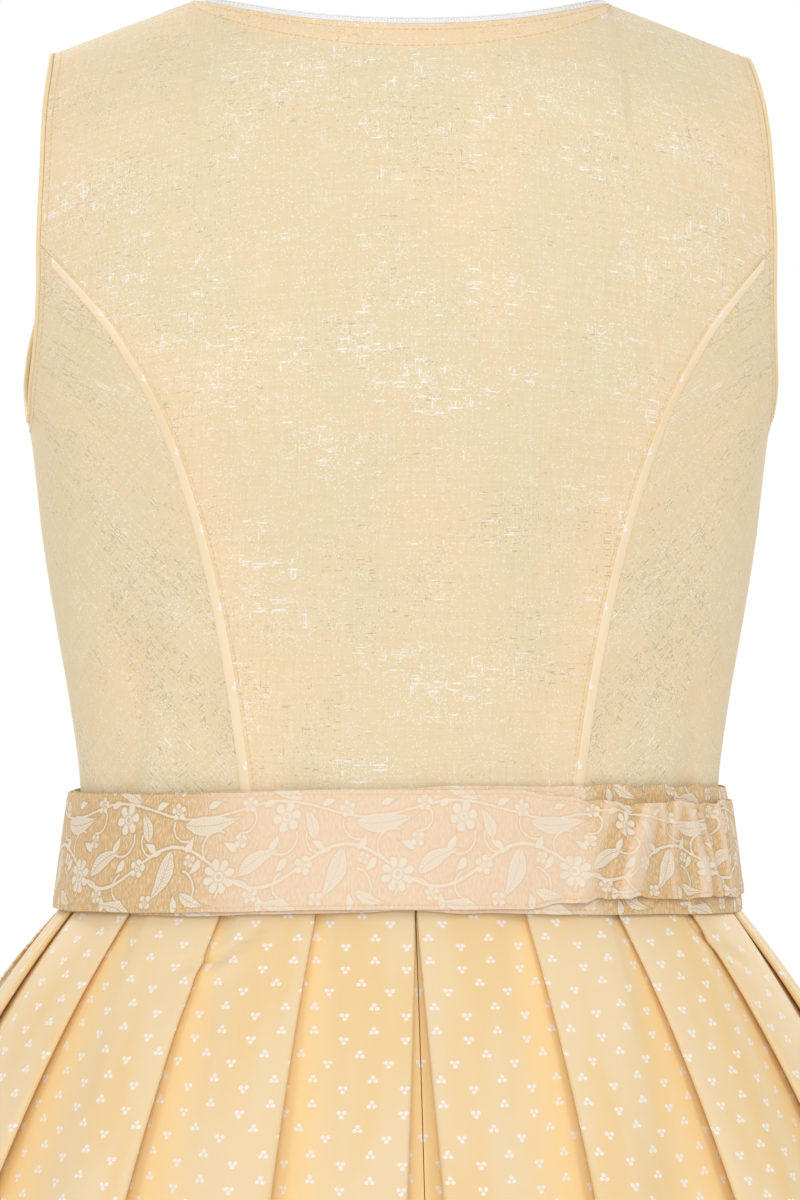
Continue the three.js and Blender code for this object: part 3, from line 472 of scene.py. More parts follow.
def clothWires(tree):  # the cloth's own coordinates, in millimetres
    uv = tree.nodes.new("ShaderNodeUVMap")
    uv.uv_map = "cloth"
    parts = tree.nodes.new("ShaderNodeSeparateXYZ")
    tree.links.new(uv.outputs["UV"], parts.inputs[0])
    return wire(tree, parts.outputs["X"]) * 1000.0, wire(tree, parts.outputs["Y"]) * 1000.0


def noise(tree, u, v, sizeU, sizeV, detail=2.0, rough=0.5, seed=0.0):
    place = tree.nodes.new("ShaderNodeCombineXYZ")
    tree.links.new((u * (1 / sizeU)).socket, place.inputs["X"])
    tree.links.new((v * (1 / sizeV)).socket, place.inputs["Y"])
    place.inputs["Z"].default_value = seed
    node = tree.nodes.new("ShaderNodeTexNoise")
    node.inputs["Scale"].default_value = 1.0
    node.inputs["Detail"].default_value = detail
    node.inputs["Roughness"].default_value = rough
    tree.links.new(place.outputs[0], node.inputs["Vector"])
    return wire(tree, node.outputs["Fac"])


# The tint carries pressed cloth on the bodice, painted shade in its creases and in the skirt's pleats, and
# painted sheen on the satin
def tintWire(tree):  # the value that a piece carries for its material, from 0 to 1
    node = tree.nodes.new("ShaderNodeAttribute")
    node.attribute_name = "tint"
    return wire(tree, node.outputs["Fac"])


# Two random values for each small cell, and the way to its middle
def flecks(tree, u, v, sizeU, sizeV, seed):
    place = tree.nodes.new("ShaderNodeCombineXYZ")
    tree.links.new((u * (1 / sizeU)).socket, place.inputs["X"])
    tree.links.new((v * (1 / sizeV)).socket, place.inputs["Y"])
    place.inputs["Z"].default_value = seed
    node = tree.nodes.new("ShaderNodeTexVoronoi")
    node.inputs["Scale"].default_value = 1.0
    tree.links.new(place.outputs[0], node.inputs["Vector"])
    shade = tree.nodes.new("ShaderNodeSeparateColor")
    tree.links.new(node.outputs["Color"], shade.inputs[0])
    red, green = (wire(tree, shade.outputs[name]) for name in ("Red", "Green"))
    return red, green, wire(tree, node.outputs["Distance"])


def blendColour(tree, share, first, second):
    node = tree.nodes.new("ShaderNodeMix")
    node.data_type = "RGBA"
    tree.links.new(share.socket, node.inputs["Factor"])
    for value, slot in ((first, node.inputs["A"]), (second, node.inputs["B"])):
        if isinstance(value, tuple):
            slot.default_value = (*value, 1.0)
        else:
            tree.links.new(value, slot)
    return node.outputs["Result"]


def finishMaterial(name, look):
    material = bpy.data.materials.new(name)
    material.use_nodes = True
    tree = material.node_tree
    shader = tree.nodes["Principled BSDF"]
    shader.inputs["Sheen Weight"].default_value = look["sheen"]
    shader.inputs["Sheen Roughness"].default_value = look["sheenRoughness"]
    shader.inputs["Sheen Tint"].default_value = (*look["sheenTint"], 1.0)
    shader.inputs["Specular IOR Level"].default_value = look["specular"]
    shader.inputs["Roughness"].default_value = look["roughness"]
    return material, tree, shader


def addBump(tree, shader, height, strength, depth):
    node = tree.nodes.new("ShaderNodeBump")
    node.inputs["Strength"].default_value = strength
    node.inputs["Distance"].default_value = depth * millimetre
    tree.links.new(height.socket, node.inputs["Height"])
    tree.links.new(node.outputs["Normal"], shader.inputs["Normal"])


linen = {
    "colour": (0.80, 0.66, 0.425), "warm": (0.885, 0.67, 0.415), "cool": (0.775, 0.665, 0.43),
    "silver": (0.93, 0.90, 0.87), "grey": (0.42, 0.36, 0.27), "thread": 0.55,
    "dashLong": 8.5, "dashThin": 0.95, "markLong": 5.0, "markThin": 0.75, "speck": 0.85, "patch": 46.0,
    "sheen": 0.06, "sheenRoughness": 0.4, "sheenTint": (1.0, 0.95, 0.85), "specular": 0.25, "roughness": 0.6,
}


def dashes(tree, u, v, sizeU, sizeV, seed, share):  # short strokes, one to a cell, where share is high
    chosen, _, off = flecks(tree, u, v, sizeU, sizeV, seed)
    return (chosen + share).step(1.0, 1.06) * off.step(0.5, 0.32)


def linenMaterial(name, grain, silverShare, greyShare):
    material, tree, shader = finishMaterial(name, linen)
    u, v = clothWires(tree)
    # Slow changes of tone, warmer where the cloth was pressed double, and painted shade, warmer, where
    # creases and puckers sink in
    slow = noise(tree, u, v, 70.0, 90.0, 2.0, 0.5, 3.1)
    colour = blendColour(tree, slow.step(0.44, 0.7) * 0.45, linen["colour"], linen["warm"])
    cool = noise(tree, u, v, 55.0, 60.0, 2.0, 0.5, 8.7)
    colour = blendColour(tree, cool.step(0.48, 0.7) * 0.7, colour, linen["cool"])
    colour = blendColour(tree, tintWire(tree) * 0.9, colour, linen["warm"])
    # Slubs: threads that run paler or darker for a short way, along the panel's own grain
    turn = math.radians(grain)
    u, v = u * math.cos(turn) + v * math.sin(turn), v * math.cos(turn) - u * math.sin(turn)
    slub = (noise(tree, u, v, 26.0, 1.1, 2.0, 0.6, 1.3) + noise(tree, u, v, 1.1, 22.0, 2.0, 0.6, 5.9)) * 0.5
    colour = blendColour(tree, slub.step(0.5, 0.7) * 0.22, colour, linen["silver"])
    colour = blendColour(tree, slub.step(0.48, 0.34) * 0.10, colour, linen["grey"])
    # Silver foil in short strokes both ways and in specks, thicker in patches
    patch = noise(tree, u, v, linen["patch"], linen["patch"] * 0.7, 3.0, 0.55, 12.4).step(0.44, 0.66)
    rows = noise(tree, u, v, 9.0, 5.0, 1.0, 0.5, 18.0).step(0.35, 0.65)
    long, thin = linen["dashLong"], linen["dashThin"]
    share = patch * rows * silverShare + 0.012
    strokes = dashes(tree, u, v, long, thin, 21.0, share)
    strokes = strokes.most(dashes(tree, u, v, thin, long * 0.8, 33.0, share * 0.6))
    worn = noise(tree, u, v, 0.9, 0.9, 1.0, 0.5, 4.4).step(0.34, 0.46)
    speckShare = patch * 0.32 + rows * 0.28 + silverShare * 0.2
    specks = dashes(tree, u, v, linen["speck"], linen["speck"], 2.0, speckShare)
    foil = (strokes * worn).most(specks * 0.75)
    colour = blendColour(tree, foil * 0.82, colour, linen["silver"])
    # Grey strokes and specks where the foil turns away from the light
    dull = noise(tree, u, v, 36.0, 30.0, 3.0, 0.55, 40.6).step(0.44, 0.64)
    long, thin = linen["markLong"], linen["markThin"]
    share = dull * rows * greyShare + 0.01
    marks = dashes(tree, u, v, long, thin, 52.0, share)
    marks = marks.most(dashes(tree, u, v, thin, long, 57.0, share * 0.45))
    marks = marks.most(dashes(tree, u, v, 0.95, 0.95, 61.0, dull * greyShare * 0.7 + 0.03) * 0.8)
    colour = blendColour(tree, marks * worn * 0.55, colour, linen["grey"])
    tree.links.new(colour, shader.inputs["Base Color"])
    shine = 0.62 - foil * 0.25
    tree.links.new(shine.socket, shader.inputs["Roughness"])
    weave = u.sine(linen["thread"]) * v.sine(linen["thread"])
    addBump(tree, shader, weave * 0.12 + slub * 1.2 + foil * 0.3, 0.45, 0.14)
    return material


# The printed cotton: six little triangles of dots to a repeat; turn is 1 pointing down, -1 up.
print_ = {
    # flat is a paler, lit copy of the colour, for the piping: painted light
    "colour": (0.855, 0.66, 0.40), "warm": (0.86, 0.605, 0.285), "flat": (0.92, 0.76, 0.53),
    # deep is the painted shade colour for the bottom of a pleat
    "deep": (1.0, 0.69, 0.31), "dot": (0.90, 0.85, 0.82),
    "width": 26.9, "height": 36.2, "dotRadius": 0.98, "spreadX": 1.2, "spreadY": 1.0, "thread": 0.32,
    "sheen": 0.08, "sheenRoughness": 0.35, "sheenTint": (1.0, 0.93, 0.78), "specular": 0.3, "roughness": 0.46,
}
printChart = [
    {"x": 0.0, "y": 0.0, "turn": 1}, {"x": 6.7, "y": 7.1, "turn": -1}, {"x": 19.6, "y": 12.5, "turn": 1},
    {"x": 6.7, "y": 19.2, "turn": -1}, {"x": 19.8, "y": 24.5, "turn": 1}, {"x": 12.6, "y": 31.0, "turn": -1},
]


def printMaterial(name, base, warm):
    material, tree, shader = finishMaterial(name, print_)
    u, v = clothWires(tree)
    wobble = noise(tree, u, v, 1.6, 1.6, 1.0, 0.5, 7.0) - 0.5
    nearest = None
    for mark in printChart:
        dx = (u - mark["x"]).wrap(print_["width"]).abs()
        dy = (v - mark["y"]).wrap(print_["height"]) * mark["turn"]
        pairX, pairY = dx - print_["spreadX"], dy + print_["spreadY"]
        single = dy - print_["spreadY"]
        distance = (pairX * pairX + pairY * pairY).least(dx * dx + single * single)
        nearest = distance if nearest is None else nearest.least(distance)
    edge = nearest.math("SQRT") + wobble * 0.7
    dots = edge.step(print_["dotRadius"] + 0.2, print_["dotRadius"] - 0.2)
    # Painted shade: warm streaks at random, long down the cloth, stand in for the shade of soft waves
    slow = noise(tree, u, v, 26.0, 120.0, 2.0, 0.5, 3.1)
    colour = blendColour(tree, slow.step(0.42, 0.66) * 0.75, base, warm)
    threads = noise(tree, u, v, 14.0, 0.5, 2.0, 0.5, 9.0) + noise(tree, u, v, 0.5, 14.0, 2.0, 0.5, 10.0)
    colour = blendColour(tree, (threads * 0.5).step(0.44, 0.3) * 0.5, colour, warm)
    # Painted shade: the cotton is painted deeper in colour towards the bottom of a pleat
    colour = blendColour(tree, tintWire(tree) * 0.8, colour, print_["deep"])
    colour = blendColour(tree, dots * 0.9, colour, print_["dot"])
    tree.links.new(colour, shader.inputs["Base Color"])
    tree.links.new((0.46 + dots * 0.15).socket, shader.inputs["Roughness"])
    weave = u.sine(print_["thread"]) * v.sine(print_["thread"])
    creases = noise(tree, u, v, 30.0, 60.0, 3.0, 0.5, 15.0)
    addBump(tree, shader, weave * 0.06 + dots * 0.3 + creases * 3.0, 0.45, 0.25)
    return material


# The jacquard of apron and ties: wandering stems with long leaves, tendrils and round flowers,
# drawn here in millimetres on a repeat of its own.
vine = {
    "ground": (0.71, 0.45, 0.195), "groundPale": (0.825, 0.61, 0.425), "motif": (0.83, 0.73, 0.59),
    "line": (0.54, 0.37, 0.19), "linePale": (0.82, 0.555, 0.34), "mark": (0.62, 0.46, 0.27),
    "width": 96.0, "height": 58.0, "scale": 0.84, "tendril": 0.55,
    "sheen": 0.08, "sheenRoughness": 0.3, "sheenTint": (1.0, 0.93, 0.82), "specular": 0.35, "roughness": 0.42,
}
vineStems = [
    {"y": 22.0, "swing": 10.5, "phase": 0.0, "half": 0.75},
    {"y": 50.0, "swing": 4.0, "phase": 2.4, "half": 0.55},
]
vineLeaves = [  # the last ones are small and come again at every so many millimetres
    {"x": 45.0, "y": 43.0, "angle": 6.0, "long": 33.0, "wide": 8.8, "bend": 0.008},
    {"x": 18.0, "y": 17.0, "angle": 246.0, "long": 28.0, "wide": 8.6, "bend": -0.012},
    {"x": 72.0, "y": 26.0, "angle": 28.0, "long": 26.0, "wide": 7.6, "bend": -0.014},
    {"x": 84.0, "y": 2.0, "angle": 165.0, "long": 25.0, "wide": 6.8, "bend": 0.014},
    {"x": 5.0, "y": 43.0, "angle": 112.0, "long": 17.0, "wide": 5.8, "bend": 0.02},
    {"x": 36.0, "y": 5.0, "angle": 338.0, "long": 17.0, "wide": 5.0, "bend": 0.02},
    {"x": 8.5, "y": 32.5, "angle": 150.0, "long": 9.0, "wide": 3.6, "bend": 0.03, "every": 48.0},
    {"x": 37.0, "y": 22.0, "angle": 230.0, "long": 9.5, "wide": 3.8, "bend": -0.03, "every": 48.0},
    {"x": 33.0, "y": 33.5, "angle": 60.0, "long": 9.0, "wide": 3.6, "bend": 0.04, "every": 48.0},
    {"x": 26.0, "y": 4.0, "angle": 95.0, "long": 9.0, "wide": 3.8, "bend": 0.03, "every": 48.0},
    {"x": 14.0, "y": 53.5, "angle": 20.0, "long": 8.5, "wide": 3.4, "bend": -0.03, "every": 32.0},
]
vineTendrils = [
    {"x": 49.0, "y": 31.5, "radius": 8.5, "middle": 150.0, "span": 170.0},
    {"x": 10.0, "y": 36.0, "radius": 8.0, "middle": 235.0, "span": 150.0},
    {"x": 60.0, "y": 5.0, "radius": 10.5, "middle": 110.0, "span": 120.0},
    {"x": 84.0, "y": 36.5, "radius": 9.0, "middle": 300.0, "span": 150.0},
    {"x": 30.0, "y": 43.0, "radius": 8.0, "middle": 225.0, "span": 120.0},
    {"x": 27.0, "y": 11.0, "radius": 10.0, "middle": 10.0, "span": 130.0},
    {"x": 88.0, "y": 12.0, "radius": 7.0, "middle": 190.0, "span": 160.0},
    {"x": 63.0, "y": 46.0, "radius": 7.0, "middle": 330.0, "span": 150.0},
]
vineFlowers = [
    {"x": 51.0, "y": 17.5, "size": 9.0, "petals": 8, "turn": 0.2},
    {"x": 87.0, "y": 46.0, "size": 7.8, "petals": 6, "turn": 0.9},
    {"x": 24.0, "y": 50.0, "size": 4.4, "petals": 5, "turn": 0.4},
    {"x": 1.0, "y": 22.0, "size": 5.0, "petals": 5, "turn": 1.3},
    {"x": 62.0, "y": 35.0, "size": 4.0, "petals": 4, "turn": 0.2},
    {"x": 33.0, "y": 25.5, "size": 3.4, "petals": 4, "turn": 0.7},
    {"x": 69.0, "y": 8.0, "size": 4.2, "petals": 5, "turn": 0.5},
    {"x": 8.0, "y": 5.0, "size": 4.0, "petals": 4, "turn": 0.1},
    {"x": 66.0, "y": 53.0, "size": 4.4, "petals": 5, "turn": 0.8},
]


# Each of these gives how far a point lies inside the shape, and the lines woven over it
def vineLeaf(u, v, leaf):
    turn = math.radians(leaf["angle"])
    dx, dy = (u - leaf["x"]).wrap(leaf.get("every", vine["width"])), (v - leaf["y"]).wrap(vine["height"])
    along = dx * math.cos(turn) + dy * math.sin(turn)
    side = (dy * math.cos(turn) - dx * math.sin(turn) - along * along * leaf["bend"]).abs()
    share = along * (2 / leaf["long"])
    # The leaf is widest nearer its foot and runs out to a point
    half = (1.0 - share * share) * (0.62 - share.least(1.2) * 0.38) * leaf["wide"] * 0.8
    inside = half - side
    if "every" in leaf:
        return inside, None
    barbs = (along + side * 1.1).sine(1.9).step(0.3, 0.8) * side.step(0.5, 0.9) * inside.step(0.5, 1.0)
    return inside, side.step(0.5, 0.2).most(barbs * 0.8)


def vineFlower(u, v, flower):
    dx, dy = (u - flower["x"]).wrap(vine["width"]), (v - flower["y"]).wrap(vine["height"])
    radius = (dx * dx + dy * dy).math("SQRT")
    angle = dy.math("ARCTAN2", dx) * (flower["petals"] / 2) + flower["turn"]
    size = flower["size"]
    reach = (angle.math("SINE").abs().math("SQRT") * 0.5 + 0.5) * size
    ring = (radius - size * 0.34).abs().step(0.5, 0.2)
    rays = angle.math("COSINE").abs().step(0.80, 0.97) * radius.step(size * 0.4, size * 0.46)
    return reach - radius, ring.most(rays).most(radius.step(size * 0.18, size * 0.12))


def vineTendril(u, v, tendril):
    dx, dy = (u - tendril["x"]).wrap(vine["width"]), (v - tendril["y"]).wrap(vine["height"])
    radius = (dx * dx + dy * dy).math("SQRT")
    middle, half = math.radians(tendril["middle"]), math.radians(tendril["span"] / 2)
    facing = (dx * math.cos(middle) + dy * math.sin(middle)) / radius.most(0.001)
    return (vine["tendril"] - (radius - tendril["radius"]).abs()).least((facing - math.cos(half)) * 6.0)


def vineMaterial(name):
    material, tree, shader = finishMaterial(name, vine)
    flatU, flatV = clothWires(tree)
    soft = noise(tree, flatU, flatV, 2.6, 2.6, 1.0, 0.5, 2.0) - 0.5
    u, v = (flatU + soft * 0.9) * (1 / vine["scale"]), (flatV + soft * 0.8) * (1 / vine["scale"])
    inside, marks = None, None
    for stem in vineStems:
        line = v - stem["y"] - u.sine(vine["width"], stem["phase"]) * stem["swing"]
        near = stem["half"] - line.wrap(vine["height"]).abs() * 0.86
        inside = near if inside is None else inside.most(near)
    for tendril in vineTendrils:
        inside = inside.most(vineTendril(u, v, tendril))
    for shape, pieces in ((vineLeaf, vineLeaves), (vineFlower, vineFlowers)):
        for piece in pieces:
            within, lines = shape(u, v, piece)
            inside = inside.most(within)
            if lines is not None:
                lines = lines * within.step(0.0, 0.3)
                marks = lines if marks is None else marks.most(lines)
    motif = inside.step(-0.15, 0.3)
    outline = (inside + 0.45).abs().step(0.5, 0.15)
    # Tint is where the satin ground faces the light and pales
    patchy = noise(tree, flatU, flatV, 60.0, 45.0, 2.0, 0.5, 5.0) - 0.5
    pale = (tintWire(tree) + patchy * 0.7).step(0.1, 0.9)
    ground = blendColour(tree, pale, vine["ground"], vine["groundPale"])
    line = blendColour(tree, pale, vine["line"], vine["linePale"])
    twill = (flatU + flatV * 1.3).sine(0.95) * 0.5 + 0.5
    grit = noise(tree, flatU, flatV, 0.75, 3.0, 2.0, 0.6, 6.0)
    ground = blendColour(tree, (grit + twill * 0.1).step(0.5, 0.72) * 0.55, ground, vine["motif"])
    ground = blendColour(tree, (grit - twill * 0.1).step(0.46, 0.28) * 0.55, ground, line)
    ground = blendColour(tree, outline * 0.8, ground, line)
    mark = blendColour(tree, pale, vine["mark"], vine["groundPale"])
    body = blendColour(tree, marks * 0.8 + grit.step(0.5, 0.3) * 0.2, vine["motif"], mark)
    colour = blendColour(tree, motif * 0.96, ground, body)
    tree.links.new(colour, shader.inputs["Base Color"])
    tree.links.new((0.4 + motif * 0.18 + grit * 0.1).socket, shader.inputs["Roughness"])
    height = motif * 1.0 - marks * 0.4 + twill * (1.0 - motif) * 0.15 + grit * 0.5
    addBump(tree, shader, height, 0.55, 0.22)
    return material


plainLooks = {
    "whiteTape": {
        "colour": (0.90, 0.89, 0.87), "dark": (0.72, 0.71, 0.69), "grain": 0.35, "sheen": 0.1,
        "sheenRoughness": 0.4, "sheenTint": (1.0, 1.0, 1.0), "specular": 0.4, "roughness": 0.55,
    },
    "stitchThread": {
        "colour": (0.90, 0.66, 0.34), "dark": (0.76, 0.50, 0.20), "grain": 0.3, "sheen": 0.1,
        "sheenRoughness": 0.4, "sheenTint": (1.0, 0.95, 0.85), "specular": 0.5, "roughness": 0.5,
    },
    "edgeCloth": {
        "colour": (0.89, 0.71, 0.44), "dark": (0.80, 0.60, 0.32), "grain": 0.6, "sheen": 0.2,
        "sheenRoughness": 0.4, "sheenTint": (1.0, 0.95, 0.85), "specular": 0.35, "roughness": 0.6,
    },
}


def plainMaterial(name):  # thread, tape and bias strips, from object coordinates
    look = plainLooks[name]
    material, tree, shader = finishMaterial(name, look)
    place = tree.nodes.new("ShaderNodeTexCoord")
    parts = tree.nodes.new("ShaderNodeSeparateXYZ")
    tree.links.new(place.outputs["Object"], parts.inputs[0])
    x, y, z = (wire(tree, parts.outputs[axis]) * 1000.0 for axis in "XYZ")
    grain = noise(tree, x + y * 0.6, z, look["grain"], look["grain"], 2.0, 0.5, 1.0)
    slow = noise(tree, x + y * 0.7, z, 18.0, 18.0, 2.0, 0.5, 2.0)
    darker = (grain * 0.6 + slow * 0.4).step(0.62, 0.36) * 0.6
    colour = blendColour(tree, darker, look["colour"], look["dark"])
    tree.links.new(colour, shader.inputs["Base Color"])
    addBump(tree, shader, grain, 0.4, 0.12)
    return material


# Stitches and rungs: a small rounded bar at every step along a path of edges, turned to
# the cloth's own normal.
stitchKinds = {
    "topstitch": {
        "pitch": 3.1, "long": 2.3, "wide": 0.5, "high": 0.42, "lift": 0.12, "uneven": 0.22, "seed": 3,
    },
    "hemStitch": {
        "pitch": 2.6, "long": 1.9, "wide": 0.42, "high": 0.32, "lift": 0.08, "uneven": 0.2, "seed": 5,
    },
    "tapeRung": {
        "pitch": 2.75, "long": 2.45, "wide": 2.5, "high": 1.0, "lift": 0.1, "uneven": 0.06, "seed": 7,
    },
}


def stitchTree():
    tree = bpy.data.node_groups.new("stitchesAlongPath", "GeometryNodeTree")
    sockets = [
        ("Path", "NodeSocketGeometry", None), ("Pitch", "NodeSocketFloat", 0.003),
        ("Size", "NodeSocketVector", None), ("Lift", "NodeSocketFloat", 0.0),
        ("Uneven", "NodeSocketFloat", 0.1), ("Seed", "NodeSocketInt", 1),
        ("Thread", "NodeSocketMaterial", None),
    ]
    for label, kind, start in sockets:
        socket = tree.interface.new_socket(name=label, in_out="INPUT", socket_type=kind)
        if start is not None:
            socket.default_value = start
    tree.interface.new_socket(name="Stitches", in_out="OUTPUT", socket_type="NodeSocketGeometry")

    def node(kind, **settings):
        made = tree.nodes.new(kind)
        for key, value in settings.items():
            setattr(made, key, value)
        return made

    given, result = node("NodeGroupInput"), node("NodeGroupOutput")
    curve, points = node("GeometryNodeMeshToCurve"), node("GeometryNodeCurveToPoints", mode="LENGTH")
    face = node("GeometryNodeInputNamedAttribute", data_type="FLOAT_VECTOR")
    face.inputs["Name"].default_value = "face"
    alongX = node("FunctionNodeAlignRotationToVector", axis="X")
    faceZ = node("FunctionNodeAlignRotationToVector", axis="Z", pivot_axis="X")
    bead = node("GeometryNodeMeshUVSphere")
    bead.inputs["Segments"].default_value = 6
    bead.inputs["Rings"].default_value = 4
    bead.inputs["Radius"].default_value = 0.5
    spread = node("FunctionNodeRandomValue", data_type="FLOAT_VECTOR")
    place = node("GeometryNodeInstanceOnPoints")
    low, high = node("ShaderNodeMath", operation="SUBTRACT"), node("ShaderNodeMath", operation="ADD")
    size = node("ShaderNodeVectorMath", operation="MULTIPLY")
    rise = node("ShaderNodeVectorMath", operation="SCALE")
    move, real = node("GeometryNodeSetPosition"), node("GeometryNodeRealizeInstances")
    smooth, paint = node("GeometryNodeSetShadeSmooth"), node("GeometryNodeSetMaterial")
    low.inputs[0].default_value = high.inputs[0].default_value = 1.0
    join = tree.links.new
    join(given.outputs["Path"], curve.inputs["Mesh"])
    join(curve.outputs["Curve"], points.inputs["Curve"])
    join(given.outputs["Pitch"], points.inputs["Length"])
    join(points.outputs["Tangent"], alongX.inputs["Vector"])
    join(alongX.outputs["Rotation"], faceZ.inputs["Rotation"])
    join(face.outputs["Attribute"], faceZ.inputs["Vector"])
    join(face.outputs["Attribute"], rise.inputs[0])
    join(given.outputs["Lift"], rise.inputs["Scale"])
    join(points.outputs["Points"], move.inputs["Geometry"])
    join(rise.outputs["Vector"], move.inputs["Offset"])
    join(given.outputs["Uneven"], low.inputs[1])
    join(given.outputs["Uneven"], high.inputs[1])
    join(low.outputs[0], spread.inputs["Min"])
    join(high.outputs[0], spread.inputs["Max"])
    join(given.outputs["Seed"], spread.inputs["Seed"])
    join(given.outputs["Size"], size.inputs[0])
    join(spread.outputs["Value"], size.inputs[1])
    join(move.outputs["Geometry"], place.inputs["Points"])
    join(bead.outputs["Mesh"], place.inputs["Instance"])
    join(faceZ.outputs["Rotation"], place.inputs["Rotation"])
    join(size.outputs["Vector"], place.inputs["Scale"])
    join(place.outputs["Instances"], real.inputs["Geometry"])
    join(real.outputs["Geometry"], smooth.inputs["Geometry"])
    join(smooth.outputs["Geometry"], paint.inputs["Geometry"])
    join(given.outputs["Thread"], paint.inputs["Material"])
    join(paint.outputs["Geometry"], result.inputs["Stitches"])
    return tree


def sewAlong(name, paths, kind, material, slot, tree):  # paths are lists of (points, normals)
    points, normals, edges, start = [], [], [], 0
    for line, face in paths:
        points.append(line)
        normals.append(face)
        edges += [(start + k, start + k + 1) for k in range(len(line) - 1)]
        start += len(line)
    mesh = bpy.data.meshes.new(name + "Path")
    mesh.from_pydata((np.concatenate(points) * millimetre).tolist(), edges, [])
    attribute = mesh.attributes.new("face", "FLOAT_VECTOR", "POINT")
    attribute.data.foreach_set("vector", np.concatenate(normals).astype(np.float32).ravel())
    guide = bpy.data.objects.new(name + "Path", mesh)
    bpy.context.scene.collection.objects.link(guide)
    modifier = guide.modifiers.new("stitches", "NODES")
    modifier.node_group = tree
    sizes = stitchKinds[kind]
    values = {
        "Pitch": sizes["pitch"] * millimetre, "Lift": sizes["lift"] * millimetre,
        "Size": [sizes[key] * millimetre for key in ("long", "wide", "high")],
        "Uneven": sizes["uneven"], "Seed": sizes["seed"], "Thread": material,
    }
    for item in tree.interface.items_tree:
        if item.in_out == "INPUT" and item.name in values:
            modifier[item.identifier] = values[item.name]
    bpy.context.view_layer.update()
    whole = guide.evaluated_get(bpy.context.evaluated_depsgraph_get())
    made = bpy.data.meshes.new_from_object(whole)
    made.name = name
    if not made.materials:
        made.materials.append(material)
    guide.modifiers.remove(modifier)
    bpy.data.objects.remove(guide)
    piece = bpy.data.objects.new(name, made)
    bpy.context.scene.collection.objects.link(piece)
    carry(piece, slot)
    print(f"  {name}: {len(made.polygons)} faces")
    return piece


def unit(vectors):
    return vectors / np.maximum(np.linalg.norm(vectors, axis=-1, keepdims=True), 1e-9)


def tube(name, centres, normals, radii, material, sides=10, closed=False):
    ahead = np.roll(centres, -1, 0) if closed else np.concatenate([centres[1:], centres[-1:]])
    behind = np.roll(centres, 1, 0) if closed else np.concatenate([centres[:1], centres[:-1]])
    along = unit(ahead - behind)
    across = unit(np.cross(along, normals))
    up = unit(np.cross(across, along))
    turn = np.arange(sides) / sides * 2 * math.pi
    ring = across[:, None] * np.cos(turn)[None, :, None] + up[:, None] * np.sin(turn)[None, :, None]
    points = (centres[:, None] + ring * np.reshape(radii, (-1, 1, 1))).reshape(-1, 3)
    count = len(centres)
    index = np.arange(count * sides).reshape(count, sides)
    beyond = np.roll(index, -1, 0) if closed else index[1:]
    here = index if closed else index[:-1]
    faces = np.stack([here, np.roll(here, -1, 1), np.roll(beyond, -1, 1), beyond], -1).reshape(-1, 4)
    length = np.concatenate([[0], np.cumsum(np.linalg.norm(np.diff(centres, axis=0), axis=1))])
    uv = np.stack(np.broadcast_arrays(np.cumsum(np.ones(sides))[None, :], length[:, None]), -1).reshape(-1, 2)
    quads = faces.tolist()
    if not closed:
        quads += [index[0].tolist()[::-1], index[-1].tolist()]
    mesh = bpy.data.meshes.new(name)
    mesh.from_pydata((points * millimetre).tolist(), [], quads)
    mesh.uv_layers.new(name="cloth")
    loops = np.empty(len(mesh.loops), int)
    mesh.loops.foreach_get("vertex_index", loops)
    mesh.uv_layers["cloth"].data.foreach_set("uv", (uv[loops] * millimetre).astype(np.float32).ravel())
    mesh.materials.append(material)
    mesh.shade_smooth()
    if signedVolume(points, faces) < 0:
        mesh.flip_normals()
    piece = bpy.data.objects.new(name, mesh)
    bpy.context.scene.collection.objects.link(piece)
    return piece


# The bodice: seven panels, pressed and stitched at their seams
sewing = {
    "allowance": 13.0, "allowanceRaise": 0.3, "pucker": 0.22, "puckerPitch": 8.5, "puckerReach": 5.0,
    "neckBand": 13.4, "neckBandRaise": 0.35, "neckInner": 4.0, "neckStitch": (3.6, 12.9),
    "princessStitch": 1.6, "armholeStitch": 3.3, "closingStitch": (2.2, 15.5),
    "pipingWidth": 4.2, "pipingWall": 0.7, "pipingLift": 0.3, "pipingOver": 0.45, "edgingRadius": 1.3,
    "tapeFoot": 0.95, "tapeOffset": 2.0, "tapeTop": 3.2, "tapeRise": 0.7,
    "cordRadius": 0.62, "fineRadius": 0.34, "pipingSteps": 7,
}
princessLines = {1: (backPrincess, backArmhole), -1: (frontPrincess, frontArmhole)}


def seamRelief(points, side):  # allowances pressed under the centre panels and puckers along seams
    x, z = points[..., 0], points[..., 2]
    princess = princessLines[side][0]
    inward = readTable(princess, "x", z) - np.abs(x)
    below = 1 - smoothStep(z, princess["z"][-1] - 30, princess["z"][-1])
    allowance = smoothStep(inward, sewing["allowance"] + 2, sewing["allowance"] - 1) * (inward > 0)
    ripple = np.sin(z * 2 * math.pi / sewing["puckerPitch"] + 2.2 * wander(z / 40, side + 2.5))
    pucker = ripple * hump(inward - 3.0, sewing["puckerReach"]) * (0.6 + 0.4 * wander(z / 55, 4.4))
    return below * (sewing["allowanceRaise"] * allowance + sewing["pucker"] * pucker)


def pressed(points, side):  # where the cloth lies double along seams and armholes
    x, z = np.abs(points[..., 0]), points[..., 2]
    inward = lineX(*princessLines[side], z) - x
    lower = hump(np.maximum(inward, 0), 20.0) * (0.75 + 0.25 * wander(z / 60, 1.9))
    return np.where(inward > -1, lower, 0.9 * hump(inward + 1, 7.0))


